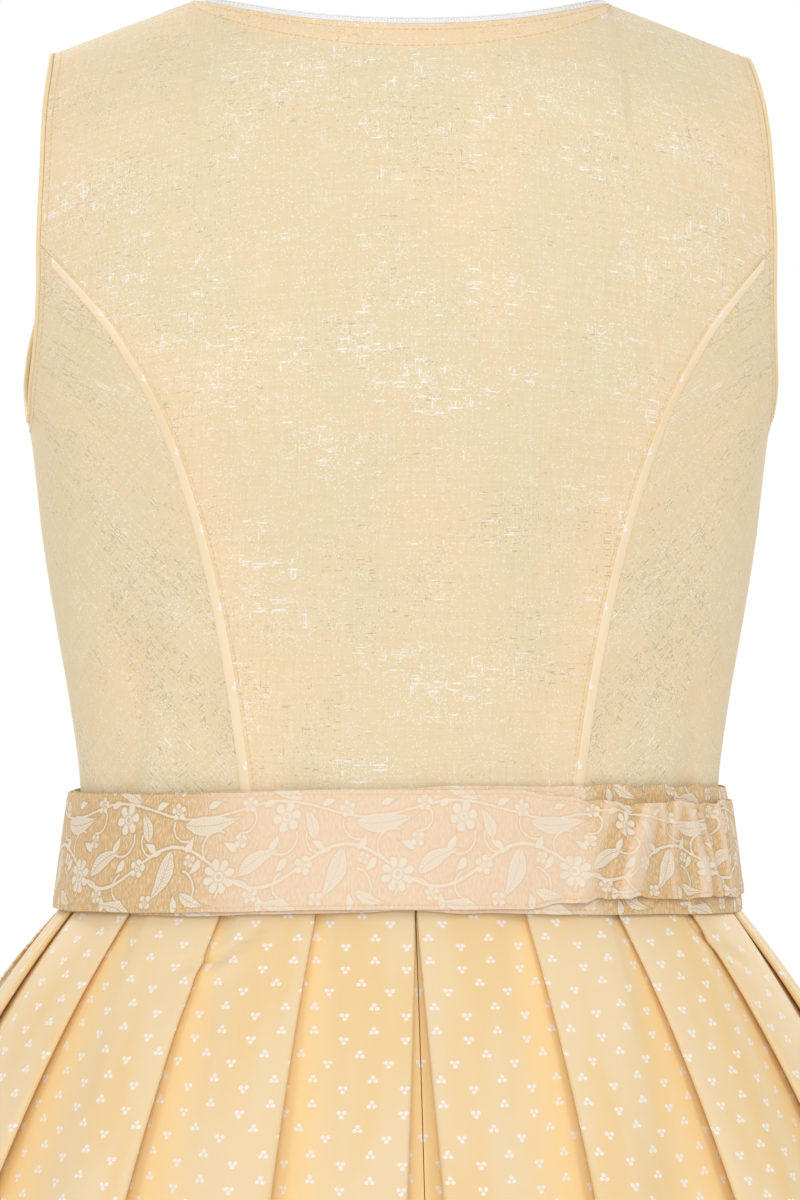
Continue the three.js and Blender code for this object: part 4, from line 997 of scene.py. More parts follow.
def bodicePanel(name, points, side, node, material, relief=None):
    normals = bodiceNormals(points, side)
    creases = backCreases if side > 0 else frontCreases
    calm = smoothStep(np.abs(points[..., 1]), 4, 26) * (1 - smoothStep(points[..., 2], -60, -10))
    raised = creaseDepth(points[..., 0], points[..., 2], creases) * calm + seamRelief(points, side)
    if relief is not None:
        raised = raised + relief
    grid = points + normals * raised[..., None]
    grid[..., 1] += side * seamGap / 2
    uv = clothUv(grid, grid.shape[1] // 2 if name == "backCentre" else 0)
    tint = pressed(points, side) * (0.9 if "Side" not in name else 0.5)
    # Painted shade: the linen is painted warmer where creases and puckers sink inward
    tint = np.maximum(tint, np.clip(-raised / 2.6, 0, 0.8))
    if relief is not None:
        tint = np.maximum(tint, relief / sewing["neckBandRaise"])
    piece = shell(name, grid, grid - normals * dress["bodiceWall"], uv, material, tint)
    return {"grid": grid, "normals": normals, "piece": piece, "uv": uv, "node": node}


def insetLine(panel, edge, distance):  # a line on a panel, at a distance in from one of its edges
    turned = {"top": (0, -1), "bottom": (0, 1), "start": (1, 1), "end": (1, -1)}[edge]
    lines, faces = [], []
    for source, out in ((panel["grid"], lines), (panel["normals"], faces)):
        rows = source if turned[0] == 1 else source.transpose(1, 0, 2)
        out.append(rows[:, :: turned[1]])
    rows, normals = lines[0], faces[0]
    found, facing = [], []
    for row, normal in zip(rows, normals):
        lengths = np.concatenate([[0], np.cumsum(np.linalg.norm(np.diff(row, axis=0), axis=1))])
        found.append([np.interp(distance, lengths, row[:, k]) for k in range(3)])
        facing.append([np.interp(distance, lengths, normal[:, k]) for k in range(3)])
    return np.array(found), unit(np.array(facing))


def cutRun(line, start=0, end=None):
    return line[0][start:end], line[1][start:end]


def joined(*runs):
    return np.concatenate([run[0] for run in runs]), np.concatenate([run[1] for run in runs])


def backwards(run):
    return run[0][::-1], run[1][::-1]


def besideRun(run, inner, out, sink, rise=0.0):  # a run moved out past its edge, and a little into the cloth
    points, normals = run
    along = unit(np.gradient(points, axis=0))
    across = unit(np.cross(along, normals))
    outward = np.einsum("ij,ij->i", across, points - inner[0])
    across *= np.where(outward < 0, -1, 1)[:, None]
    across = unit(across + np.array([0.0, 0.0, rise]))
    return points + across * out - normals * sink, normals


def buildBodice(cloth, printed, edgeCloth, thread, tape, stitches):
    print("bodice panels")
    back = backCentreGrid()
    neckFrom, neckTo = bodice["shoulderColumns"], back.shape[1] - bodice["shoulderColumns"]
    fromTop = runLengths(back[::-1], 0)[::-1]
    inNeck = smoothStep(bodice["neckPoint"][0] - np.abs(back[..., 0]), -6, 4)
    bandEdge = sewing["neckBand"] + 1.5, sewing["neckBand"] - 0.5
    neckLines = 0.0, sewing["neckInner"], *sewing["neckStitch"]
    neckBand = sewing["neckBandRaise"] * smoothStep(fromTop, *bandEdge) * inNeck
    panels = {"backCentre": bodicePanel("backCentre", back, 1, "back_centre", cloth["centre"], neckBand)}
    for word, sign in (("Left", 1), ("Right", -1)):
        side, front = sideGrid(1, sign), frontGrid(sign)
        fromEdge = runLengths(front, 1)
        band = sewing["neckBandRaise"] * smoothStep(fromEdge, *bandEdge)
        low = word.lower()
        panels["backSide" + word] = bodicePanel("backSide" + word, side, 1, "back_side_" + low, cloth["side"])
        panels["front" + word] = bodicePanel("front" + word, front, -1, "front_" + low, cloth["front"], band)
        frontSide = sideGrid(-1, sign)
        name = "frontSide" + word
        panels[name] = bodicePanel(name, frontSide, -1, "front_side_" + low, cloth["side"])

    print("piping, edges and neck tape")
    rows, closing = bodice["seamRows"], bodice["closingRows"]
    sewn, neckRuns, pipings = [], {}, {}
    for word in ("Left", "Right"):
        side, front = panels["backSide" + word], panels["front" + word]
        shares = np.linspace(0, 1, sewing["pipingSteps"])
        strip = [cutRun(insetLine(side, "start", sewing["pipingWidth"] * s), 0, -2) for s in shares]
        points = np.stack([run[0] for run in strip], 1)
        normals = np.stack([run[1] for run in strip], 1)
        rounded = sewing["pipingWall"] * (1 - 0.55 * np.abs(2 * shares - 1) ** 3)[None, :, None]
        over = unit(points[:, :1] - points[:, 1:2]) * sewing["pipingOver"] * (1 - shares)[None, :, None]
        inner = points + over + normals * sewing["pipingLift"]
        outer = inner + normals * rounded
        uv = clothUv(outer)
        piece = shell("seamPiping" + word, outer, inner, uv, printed)
        carry(piece, "dotted_print", "seam_piping_" + word.lower())
        pipings[side["piece"].name] = [piece]

        backEdge = "end" if word == "Left" else "start"
        armBack = cutRun(insetLine(panels["backCentre"], backEdge, 0.0), rows + 1)
        armBackIn = cutRun(insetLine(panels["backCentre"], backEdge, 4.0), rows + 1)
        armFront = cutRun(insetLine(front, "end", 0.0), rows + 1, -1)
        armFrontIn = cutRun(insetLine(front, "end", 4.0), rows + 1, -1)
        lowBack, lowBackIn = (cutRun(insetLine(side, "top", d), 1, -1) for d in (0.0, 4.0))
        frontSide = panels["frontSide" + word]
        lowFront, lowFrontIn = (cutRun(insetLine(frontSide, "top", d), 1, -1) for d in (0.0, 4.0))
        run = joined(backwards(armBack), lowBack, backwards(lowFront), armFront)
        within = joined(backwards(armBackIn), lowBackIn, backwards(lowFrontIn), armFrontIn)
        radius = sewing["edgingRadius"]
        centres, facing = besideRun(run, within, radius + seamGap, dress["bodiceWall"] / 2)
        wavy = radius * (1 + 0.05 * wander(np.arange(len(centres)) / 4.0, 3.3))
        edging = tube("armholeEdging" + word, centres, facing, wavy, edgeCloth, sides=12, closed=True)
        carry(edging, "bodice_linen", "armhole_edging_" + word.lower())

        step = sewing["armholeStitch"]
        armLine = joined(
            backwards(cutRun(insetLine(panels["backCentre"], backEdge, step), rows + 1)),
            cutRun(insetLine(side, "top", step), 1, -1),
            backwards(cutRun(insetLine(frontSide, "top", step), 1, -1)),
            cutRun(insetLine(front, "end", step), rows + 1, -1),
        )
        princess = sewing["princessStitch"]
        sewn += [armLine, cutRun(insetLine(panels["backCentre"], backEdge, princess), 1, rows)]
        sewn.append(cutRun(insetLine(front, "end", princess), 1, rows))
        sewn.append(cutRun(insetLine(front, "start", sewing["closingStitch"][0]), 1, closing))
        if word == "Right":
            sewn.append(cutRun(insetLine(front, "start", sewing["closingStitch"][1]), 1, closing - 2))
        neckRuns[word] = [cutRun(insetLine(front, "start", d), closing, -1) for d in neckLines]

    for panel in panels.values():
        piece, uv, node = panel["piece"], panel["uv"], panel["node"]
        declareCloth(piece, uv, "bodice_linen", node)
    neckBack = [cutRun(insetLine(panels["backCentre"], "top", d), neckFrom, neckTo) for d in neckLines]
    edge, within, *rowsOfStitches = [
        joined(right, middle, backwards(left))
        for right, middle, left in zip(neckRuns["Right"], neckBack, neckRuns["Left"])
    ]
    sewn += rowsOfStitches
    half = len(sewn) // 2
    for name, lines in (("bodiceStitchesA", sewn[:half]), ("bodiceStitchesB", sewn[half:])):
        sewAlong(name, lines, "topstitch", thread, "stitching", stitches)

    # The neck tape: a cord at the cloth, rungs and a finer cord above them
    sink = dress["bodiceWall"] / 2
    low, rungs, high = (
        besideRun(edge, within, sewing[key], sink, sewing["tapeRise"])
        for key in ("tapeFoot", "tapeOffset", "tapeTop")
    )
    along = np.ones(len(edge[0]) - 2)
    cord = tube("neckTapeCord", low[0][1:-1], low[1][1:-1], along * sewing["cordRadius"], tape)
    carry(cord, "white_edging", "neck_trim")
    fine = tube("neckTapeEdge", high[0][1:-1], high[1][1:-1], along * sewing["fineRadius"], tape, sides=8)
    carry(fine, "white_edging")
    sewAlong("neckTapeRungs", [cutRun(rungs, 1, -1)], "tapeRung", tape, "white_edging", stitches)
    return panels


# Seven covered buttons down the centre front, each a crowned disc with its cloth drawn under
buttons = {
    "count": 7, "radius": 5.5, "height": 2.6, "topZ": -134.0, "bottomZ": -342.0,
    "profile": [
        (0.80, 0.0), (0.90, 0.05), (0.985, 0.2), (1.0, 0.36), (0.955, 0.55),
        (0.8, 0.8), (0.5, 0.96), (0.2, 1.0),
    ],
    "sides": 40, "printStep": (31, 17),
}


def buildButtons(panels, printed):
    print("buttons")
    front = panels["frontRight"]
    closing = bodice["closingRows"]
    column = front["grid"][:closing + 1]
    normals = front["normals"][:closing + 1]

    def atCentre(row, values):
        return [np.interp(0.0, -row[:, 0], values[:, k]) for k in range(3)]

    middle = np.array([atCentre(row, row) for row in column])
    facing = np.array([atCentre(row, normal) for row, normal in zip(column, normals)])
    turn = np.arange(buttons["sides"]) / buttons["sides"] * 2 * math.pi
    for number in range(buttons["count"]):
        z = mixTo(buttons["topZ"], buttons["bottomZ"], number / (buttons["count"] - 1))
        seat = np.array([np.interp(z, middle[:, 2], middle[:, k]) for k in range(3)])
        up = unit(np.array([np.interp(z, middle[:, 2], facing[:, k]) for k in range(3)]))
        across = unit(np.cross(up, [0.0, 0.0, 1.0]))
        upright = np.cross(across, up)
        seat = seat + up * seamGap
        rings, flat = [], []
        shift = np.array(buttons["printStep"]) * number
        for radius, height in buttons["profile"]:
            pinch = 1 + (0.012 * np.sin(turn * 9 + number) if height < 0.3 else 0)
            spokes = across * np.cos(turn)[:, None] + upright * np.sin(turn)[:, None]
            spokes = spokes * buttons["radius"] * radius
            rings.append(seat + spokes * np.reshape(pinch, (-1, 1)) + up * height * buttons["height"])
            reach = buttons["radius"] * (radius + (1 - height) * 0.5)
            flat.append(np.stack([np.cos(turn), np.sin(turn)], -1) * reach + shift)
        points = np.concatenate([*rings, [seat + up * buttons["height"]], [seat]])
        uv = np.concatenate([*flat, [shift], [shift]])
        sides, last = buttons["sides"], len(rings) - 1
        index = np.arange(len(rings) * sides).reshape(len(rings), sides)
        quads = np.stack([index[:-1], np.roll(index[:-1], -1, 1), np.roll(index[1:], -1, 1), index[1:]], -1)
        faces = quads.reshape(-1, 4).tolist()
        top, bottom = len(points) - 2, len(points) - 1
        faces += [[int(index[last, i]), int(index[last, (i + 1) % sides]), top] for i in range(sides)]
        faces += [[int(index[0, (i + 1) % sides]), int(index[0, i]), bottom] for i in range(sides)]
        piece = looseMesh(f"button{number + 1}", points, faces, uv, printed)
        carry(piece, "covered_button", f"button_{number + 1}")


def looseMesh(name, points, faces, uv, material):  # a closed mesh from faces of three and four
    mesh = bpy.data.meshes.new(name)
    mesh.from_pydata((points * millimetre).tolist(), [], faces)
    layer = mesh.uv_layers.new(name="cloth")
    loops = np.empty(len(mesh.loops), int)
    mesh.loops.foreach_get("vertex_index", loops)
    layer.data.foreach_set("uv", (uv[loops] * millimetre).astype(np.float32).ravel())
    mesh.materials.append(material)
    bm = bmesh.new()
    bm.from_mesh(mesh)
    bmesh.ops.recalc_face_normals(bm, faces=bm.faces)
    bm.to_mesh(mesh)
    bm.free()
    mesh.shade_smooth()
    piece = bpy.data.objects.new(name, mesh)
    bpy.context.scene.collection.objects.link(piece)
    return piece


# The skirt: one inverted pleat at the centre back, then knife pleats round to the centre front
skirt = {
    "waist": (146.4, 93.4, 105.8), "hip": (154.2, 102.0, 113.0), "fall": 110.0,
    "flare": (0.31, 0.31, 0.28), "flareEarly": (0.5, 0.28, 0.24), "closedFold": 0.35, "sideSeamPleat": 4,
    "waistRows": 6, "topRows": 26, "topSpan": 52.0, "lowerRows": 72,
    "arcSteps": 5, "hiddenSteps": 5, "faceSteps": 14,
}
# Short pinched creases: the ends of each as share of the way round and height, and how it bows
skirtCreases = [
    {"from": (0.150, -402), "to": (0.238, -424), "bow": -8.0, "width": 2.2, "depth": -2.6},
    {"from": (0.140, -398), "to": (0.228, -430), "bow": -9.0, "width": 5.0, "depth": 1.4},
    {"from": (-0.315, -402), "to": (-0.37, -428), "bow": -5.0, "width": 3.0, "depth": -1.6},
]
pleatRows = {
    "z": [-372, -405, -450, -520, -620, -760, -910, hemZ],
    "fold": [0.8, 0.76, 0.56, 0.34, 0.13, -0.08, -0.23, -0.3],
    "height": [3.2, 3.4, 5.4, 9, 15, 22, 28, 32],
    "turn": [0.8, 0.85, 1.2, 2, 3.4, 5.5, 8, 10],
    "gape": [0.7, 1, 3.4, 7.6, 13, 20, 26, 31],
    "underlay": [34, 33, 28, 21, 12, 1, -7, -12],
}
pleats = {
    1: [0.11, 0.217, 0.332, 0.443, 0.55, 0.66, 0.77, 0.885],
    -1: [0.123, 0.233, 0.337, 0.433, 0.545, 0.66, 0.77, 0.885],
}
# Soft hollows and swells of the hanging cloth: share of the way round from the centre back
# (negative on the wearer's right), height, reach across and down, and how far it moves.
skirtFolds = [
    {"at": 0.255, "z": -428, "across": 0.024, "down": 11, "move": -2.2},
    {"at": 0.235, "z": -452, "across": 0.04, "down": 16, "move": 1.6},
    {"at": 0.30, "z": -520, "across": 0.03, "down": 70, "move": -1.8},
    {"at": 0.16, "z": -560, "across": 0.03, "down": 90, "move": 1.8},
    {"at": 0.05, "z": -600, "across": 0.025, "down": 110, "move": -1.6},
    {"at": -0.07, "z": -580, "across": 0.025, "down": 100, "move": 1.7},
    {"at": -0.18, "z": -520, "across": 0.028, "down": 70, "move": -1.8},
    {"at": -0.29, "z": -560, "across": 0.03, "down": 90, "move": 2.0},
    {"at": 0.39, "z": -640, "across": 0.035, "down": 120, "move": 2.4},
    {"at": -0.40, "z": -700, "across": 0.035, "down": 120, "move": -2.4},
    {"at": 0.52, "z": -760, "across": 0.04, "down": 150, "move": -2.6},
    {"at": -0.53, "z": -640, "across": 0.04, "down": 140, "move": 2.6},
    {"at": 0.68, "z": -820, "across": 0.05, "down": 150, "move": 2.4},
    {"at": -0.70, "z": -860, "across": 0.05, "down": 150, "move": -2.2},
    {"at": 0.12, "z": -860, "across": 0.04, "down": 150, "move": 3.0},
    {"at": -0.14, "z": -900, "across": 0.04, "down": 140, "move": -3.0},
    {"at": 0.27, "z": -950, "across": 0.035, "down": 120, "move": -3.0},
    {"at": -0.26, "z": -960, "across": 0.03, "down": 110, "move": 2.6},
]


def skirtRing(z):
    below = max(dress["bandBottomZ"] - z, 0.0)
    early = skirt["fall"] * (1 - math.exp(-below / skirt["fall"]))
    share = min(max((waistSeamZ - z) / (waistSeamZ - dress["bandBottomZ"]), 0.0), 1.0)
    sizes = zip(skirt["waist"], skirt["hip"], skirt["flare"], skirt["flareEarly"])
    return tuple(mixTo(top, hip, share) + slope * below + first * early for top, hip, slope, first in sizes)


bandSizes = {
    "top": (149.6, 96.6, 109.4), "bottom": (157.2, 105.4, 116.2), "tilt": 5.0,
    "end": 0.6, "bowAt": 0.905, "bowGap": 0.022,
}


def bandRing(z):
    share = (dress["bandTopZ"] - z) / (dress["bandTopZ"] - dress["bandBottomZ"])
    return tuple(mixTo(a, b, share) for a, b in zip(bandSizes["top"], bandSizes["bottom"]))


class roundLine:  # a level ring measured from the centre back; lengths on the wearer's right are negative
    def __init__(self, ring, z):
        self.halfWidth, self.back, self.front = ring
        self.z = z
        self.angles = np.linspace(0, math.pi, 161)
        x, y, _ = self.at(self.angles)
        self.lengths = np.concatenate([[0], np.cumsum(np.hypot(np.diff(x), np.diff(y)))])
        self.total = self.lengths[-1]

    def at(self, angle):
        depth = np.where(np.cos(angle) > 0, self.back, self.front)
        return self.halfWidth * np.sin(angle), depth * np.cos(angle), depth

    def point(self, length, out):
        length, out = np.broadcast_arrays(np.asarray(length, float), np.asarray(out, float))
        past = np.abs(length) > self.total
        wrapped = np.where(past, 2 * self.total - np.abs(length), np.abs(length))
        angle = np.interp(wrapped, self.lengths, self.angles)
        x, y, depth = self.at(angle)
        nx, ny = np.sin(angle) / self.halfWidth, np.cos(angle) / depth
        scale = out / np.hypot(nx, ny)
        side = np.where(past, -1, 1) * np.where(length < 0, -1, 1)
        return np.stack([side * (x + nx * scale), y + ny * scale, np.full(x.shape, self.z)], -1)


def skirtSway(share, z):  # how far the cloth stands out of its ring, the same for every layer there
    depth = max(dress["bandBottomZ"] - z, 0.0)
    grow = smoothStep(depth, 0, 60) * 1.0
    total = np.zeros(np.shape(share))
    for fold in skirtFolds:
        near = hump(z - fold["z"], fold["down"])
        total = total + fold["move"] * hump(share - fold["at"], fold["across"]) * near
    pinch = np.zeros(np.shape(share))
    for crease in skirtCreases:
        if depth < skirt["topSpan"]:
            (startAt, startZ), (endAt, endZ) = crease["from"], crease["to"]
            t = (share - startAt) / (endAt - startAt)
            path = mixTo(startZ, endZ, t) + crease["bow"] * np.sin(np.clip(t, 0, 1) * math.pi)
            ends = smoothStep(t, -0.05, 0.15) * smoothStep(t, 1.1, 0.8)
            pinch = pinch + crease["depth"] * hump(z - path, crease["width"]) * ends
    lower = smoothStep(depth, 40, 420)
    around = 7.0 * np.sin(share * math.pi) + 4.3 * np.cos(share * math.pi)
    slow = 1.6 * wander(around + z / 300, 2.2) + 1.1 * wander(around * 2.2 - z / 210, 6.1)
    return grow * total + smoothStep(depth, 0, 6) * pinch + lower * slow


def pleatLine(z, folds, total):  # length along and distance out of the ring, and where each crest is
    fold, height, turn, gape, underlay = (
        float(readTable(pleatRows, column, z)) for column in ("fold", "height", "turn", "gape", "underlay")
    )
    crests = [gape, *(share * total for share in folds)]
    half = height / 2
    troughs = [c + (underlay if i == 0 else fold * (c - crests[i - 1])) for i, c in enumerate(crests)]
    quarter, steps = quarterTurn, np.linspace(0, 1, skirt["arcSteps"] + 1)

    def arc(centre, start, end):
        angle = mixTo(start, end, steps)
        return np.stack([centre[0] + turn * np.cos(angle), centre[1] + turn * np.sin(angle)], -1)

    def straight(start, end, count):
        return mixTo(np.array(start), np.array(end), np.linspace(0, 1, count + 2)[1:-1, None])

    parts, marks, place, entry = [np.array([[seamGap / 2, -half]])], [], 1, 0.0
    split = 0
    for i, crestX in enumerate(crests):
        trough = (troughs[i] - turn, turn - half)
        crest = (crestX + turn, half - turn)
        apart = math.hypot(crest[0] - trough[0], crest[1] - trough[1])
        slant = math.asin(min(2 * turn / apart, 1))
        back = math.atan2(crest[1] - trough[1], crest[0] - trough[0]) + slant
        low = arc(trough, entry - quarter, back - quarter)
        last = i == len(crests) - 1
        onward = (total, -half) if last else (troughs[i + 1] - turn, turn - half)
        away = math.hypot(onward[0] - crest[0], onward[1] - crest[1])
        towards = math.atan2(onward[1] - crest[1], onward[0] - crest[0])
        lean = 0.0 if last else towards - math.asin(min(2 * turn / away, 1))
        closed = 1.0 if last else min(max(fold / skirt["closedFold"], 0.0), 1.0)
        leave = mixTo(lean, 0.0, closed)
        high = arc(crest, back + quarter, leave + quarter)
        before = parts[-1][-1]
        lead = straight(before, low[0], skirt["hiddenSteps"])
        rise = straight(low[-1], high[0], skirt["hiddenSteps"])
        for piece in (lead, low, rise, high):
            parts.append(piece)
            place += len(piece)
        marks.append(place - len(high) // 2 - 1)
        if last:
            face = straight(high[-1], (total - seamGap / 2, half), skirt["faceSteps"])
            parts += [face, np.array([[total - seamGap / 2, half]])]
            place += len(face) + 1
            break
        start = np.array([crest[0] - turn * math.sin(lean), crest[1] + turn * math.cos(lean)])
        end = np.array([onward[0] + turn * math.sin(lean), onward[1] - turn * math.cos(lean)])
        knots = np.array([
            high[-1],
            [mixTo(mixTo(start[0], end[0], 0.33), troughs[i] + turn * 0.6, closed),
             mixTo(mixTo(start[1], end[1], 0.33), half, closed)],
            [mixTo(mixTo(start[0], end[0], 0.66), crests[i + 1] - turn, closed),
             mixTo(mixTo(start[1], end[1], 0.66), -half, closed)],
        ])
        first = straight(knots[0], knots[1], skirt["faceSteps"] // 2)
        second = straight(knots[1], knots[2], skirt["faceSteps"] // 2)
        for piece in (first, knots[1:2], second, knots[2:3]):
            parts.append(piece)
            place += len(piece)
        entry = leave
        if i == skirt["sideSeamPleat"]:
            split = place
    return np.concatenate(parts), marks, split


def smoothLine(line, keep, passes):  # rounds the corners of the folded line, but not its two ends
    for _ in range(passes):
        inner = (line[:-2] + line[1:-1] * 2 + line[2:]) / 4
        line = np.concatenate([line[:1], mixTo(line[1:-1], inner, keep[1:-1, None]), line[-1:]])
    return line


def skirtHalf(sign):
    topEnd = dress["bandBottomZ"] - skirt["topSpan"]
    zs = np.concatenate([
        [waistSeamZ - 0.5], np.linspace(waistSeamZ - 6, dress["bandBottomZ"], skirt["waistRows"])[:-1],
        np.linspace(dress["bandBottomZ"], topEnd, skirt["topRows"])[:-1],
        np.linspace(topEnd, hemZ, skirt["lowerRows"]),
    ])
    outer, inner, arcs, tint, marks = [], [], [], [], None
    for z in zs:
        ring = roundLine(skirtRing(z), z)
        line, marks, split = pleatLine(z, pleats[sign], ring.total)
        open_ = smoothStep(dress["bandBottomZ"] - z, 15, 160)
        line = smoothLine(line, np.full(len(line), 0.9 * open_), 3)
        along = unit(np.gradient(line, axis=0))
        side = np.stack([-along[:, 1], along[:, 0]], -1) * dress["clothWall"] / 2
        sway = skirtSway(sign * line[:, 0] / ring.total, z)
        for beside, grid in ((line + side, outer), (line - side, inner)):
            point = ring.point(beside[:, 0], beside[:, 1] + sway)
            point[:, 0] *= sign
            grid.append(point)
        # Painted shade for the material: the tint grows the deeper a point lies in its pleat, and fades
        # towards the hem
        deep = line[:, 1] / float(readTable(pleatRows, "height", z)) * 2
        tint.append(smoothStep(deep, 0.75, -0.9) * smoothStep(z, hemZ - 500, waistSeamZ))
        arcs.append(np.concatenate([[0], np.cumsum(np.hypot(*np.diff(line, axis=0).T))]))
    outer, inner, arcs, tint = np.array(outer), np.array(inner), np.array(arcs), np.array(tint)
    # Cloth coordinates: each crest keeps its own thread from waist to hem, the shown face is true
    # to size and the hidden return takes up what the pleat hides.
    marks = [0, *marks, arcs.shape[1] - 1]
    u, start = np.zeros_like(arcs), 0.0
    for a, b in zip(marks[:-1], marks[1:]):
        run = arcs[:, a:b + 1] - arcs[:, a:a + 1]
        whole = run[:, -1].max()
        spare = whole - run[:, -1:]
        share = run / np.maximum(run[:, -1:], 1e-6)
        u[:, a:b + 1] = start + run + spare * smoothStep(share, 0.5, 0.95)
        start += whole
    slopes = np.gradient([skirtRing(z)[0] for z in zs], zs)
    fall = np.concatenate([[0], np.cumsum(-np.diff(zs) * np.sqrt(1 + slopes[1:] ** 2))])
    uv = np.stack([u * sign, np.broadcast_to(fall[:, None], u.shape)], -1)
    return outer, inner, uv, tint, split


def buildSkirt(printed):
    print("skirt")
    for word, sign in (("Left", 1), ("Right", -1)):
        outer, inner, uv, tint, split = skirtHalf(sign)
        for name, part in (("skirtBack", slice(0, split)), ("skirtFront", slice(split - 1, None))):
            some = [grid[:, part].copy() for grid in (outer, inner)]
            edge = -1 if name == "skirtBack" else 0
            step = unit(some[0][:, 1 if edge == 0 else -2] - some[0][:, edge]) * seamGap / 2
            for grid in some:
                grid[:, edge] += step
            piece = shell(name + word, some[0], some[1], uv[:, part], printed, tint[:, part])
            node = ("skirt_back_" if name == "skirtBack" else "skirt_front_") + word.lower()
            declareCloth(piece, uv[:, part], "dotted_print", node)


# The apron and its ties
apron = {
    "edge": 0.575, "gathers": 20, "fineGathers": 71, "fineReach": 34.0, "shorterBy": 38.0, "rows": 80,
    "rowSpread": 1.4, "steps": 540, "hem": 30.0, "sideHem": 9.0, "hemShare": 0.6,
}
apronRows = {
    "z": [-407.2, -440, -520, -640, -780, -920, hemZ + apron["shorterBy"]],
    "wave": [1.7, 3.6, 5, 6.2, 7.4, 8.6, 9.4],
    "lift": [0, 1, 2, 3, 4, 4, 4],
}
tieInset = {"wide": 0.5, "drawnLow": 6.0, "drawnHigh": 5.0, "underReach": 1.5}
tieLayers = {"gap": 0.5, "edgeRound": 1.4, "hemLine": 2.0, "hemDepth": 0.22, "levels": 34}
# Creases of the upper tie near the wearer's right side: place, lean, width and height
tieCreases = [
    {"at": -0.196, "lean": -0.050, "width": 0.024, "height": 5.0},
    {"at": -0.226, "lean": -0.044, "width": 0.008, "height": 1.6},
    {"at": -0.250, "lean": -0.046, "width": 0.022, "height": 5.6},
    {"at": -0.282, "lean": -0.016, "width": 0.009, "height": 2.0},
    {"at": -0.304, "lean": -0.020, "width": 0.016, "height": 3.6},
    {"at": -0.334, "lean": 0.006, "width": 0.018, "height": 5.0},
    {"at": -0.362, "lean": 0.020, "width": 0.009, "height": 2.2},
    {"at": -0.388, "lean": 0.012, "width": 0.016, "height": 4.0},
    {"at": -0.410, "lean": 0.004, "width": 0.008, "height": 1.6},
]
creaseSteep = 0.3
creaseSpan = (-0.12, -0.42)
tieSteps = {"band": 90, "bandInset": 0.003, "under": 300, "before": 150, "creased": 190, "after": 110}


def apronOut(z, share, sway=0.0, smooth=False):
    outside = float(readTable(pleatRows, "height", z)) / 2 + dress["clothWall"]
    wave, lift = float(readTable(apronRows, "wave", z)), float(readTable(apronRows, "lift", z))
    base = outside + dress["clothWall"] / 2 + seamGap + lift + sway
    if smooth:
        return base + 2 * wave
    uneven = share + 0.0052 * wander(share * 19, 1.7) + 0.002 * wander(share * 60 + z / 160, 3.9)
    swing = 0.5 + 0.5 * np.cos(uneven * apron["gathers"] * 2 * math.pi)
    swing = mixTo(swing, swing**1.6, 0.5) * (0.86 + 0.14 * wander(share * 33, 5.5))
    fine = 0.5 + 0.5 * np.cos(share * apron["fineGathers"] * 2 * math.pi + 1.6 * wander(share * 90, 8.1))
    near = math.exp(-max(apronRows["z"][0] - z, 0.0) / apron["fineReach"])
    half = 0.5 + 0.5 * np.cos(share * apron["gathers"] * 4.6 * math.pi + 2.0 * wander(share * 40, 2.9))
    middle = math.exp(-max(apronRows["z"][0] - z, 0.0) / (apron["fineReach"] * 5)) * 0.4
    shape = mixTo(mixTo(swing, half, middle), fine, near * 0.7)
    return base + 2 * wave * shape


def wallFrom(middle, thickness, outFrom=None):  # two faces and normals from one grid of points
    normals = unit(np.cross(np.gradient(middle, axis=1), np.gradient(middle, axis=0)))
    centre = middle.mean((0, 1)) if outFrom is None else outFrom
    if np.einsum("ijk,ijk->", normals, middle - centre) < 0:
        normals = -normals
    return middle + normals * thickness / 2, middle - normals * thickness / 2, normals


def buildApron(brocade, thread, stitches):
    print("apron")
    downs = np.linspace(0, 1, apron["rows"]) ** apron["rowSpread"]  # closest together at the gathers
    zs = mixTo(apronRows["z"][0], apronRows["z"][-1], downs)
    shares = np.linspace(0, 1, apron["steps"] + 1)
    outer, inner = [], []
    for z in zs:
        ring = roundLine(skirtRing(z), z)
        along = mixTo(apron["edge"], 2 - apron["edge"], shares)
        round_ = np.where(along > 1, along - 2, along)
        out = apronOut(z, shares, skirtSway(round_, z))
        outer.append(ring.point(along * ring.total, out + dress["clothWall"]))
        inner.append(ring.point(along * ring.total, out))
    outer, inner = np.array(outer), np.array(inner)
    across = runLengths(outer, 1)
    hemAcross = across[-1] - across[-1, -1] / 2
    rowAcross = across - across[:, -1:] / 2
    down = runLengths(outer, 0).mean(1)
    flatAcross = mixTo(rowAcross, hemAcross[None, :], apron["hemShare"])
    uv = np.stack([flatAcross, np.broadcast_to(down[:, None], across.shape)], -1)
    piece = shell("apronSkirt", outer, inner, uv, brocade)
    declareCloth(piece, uv, "vine_brocade", "apron")
    panel = {"grid": outer, "normals": unit(outer - inner)}
    lines = [cutRun(insetLine(panel, "bottom" if zs[0] < zs[-1] else "top", apron["hem"]), 3, -3)]
    lines += [cutRun(insetLine(panel, edge, apron["sideHem"]), 3, -3) for edge in ("start", "end")]
    sewAlong("apronStitches", lines, "hemStitch", thread, "stitching", stitches)


def tilt(share):
    return bandSizes["tilt"] * np.maximum(np.cos(share * math.pi), 0) ** 2


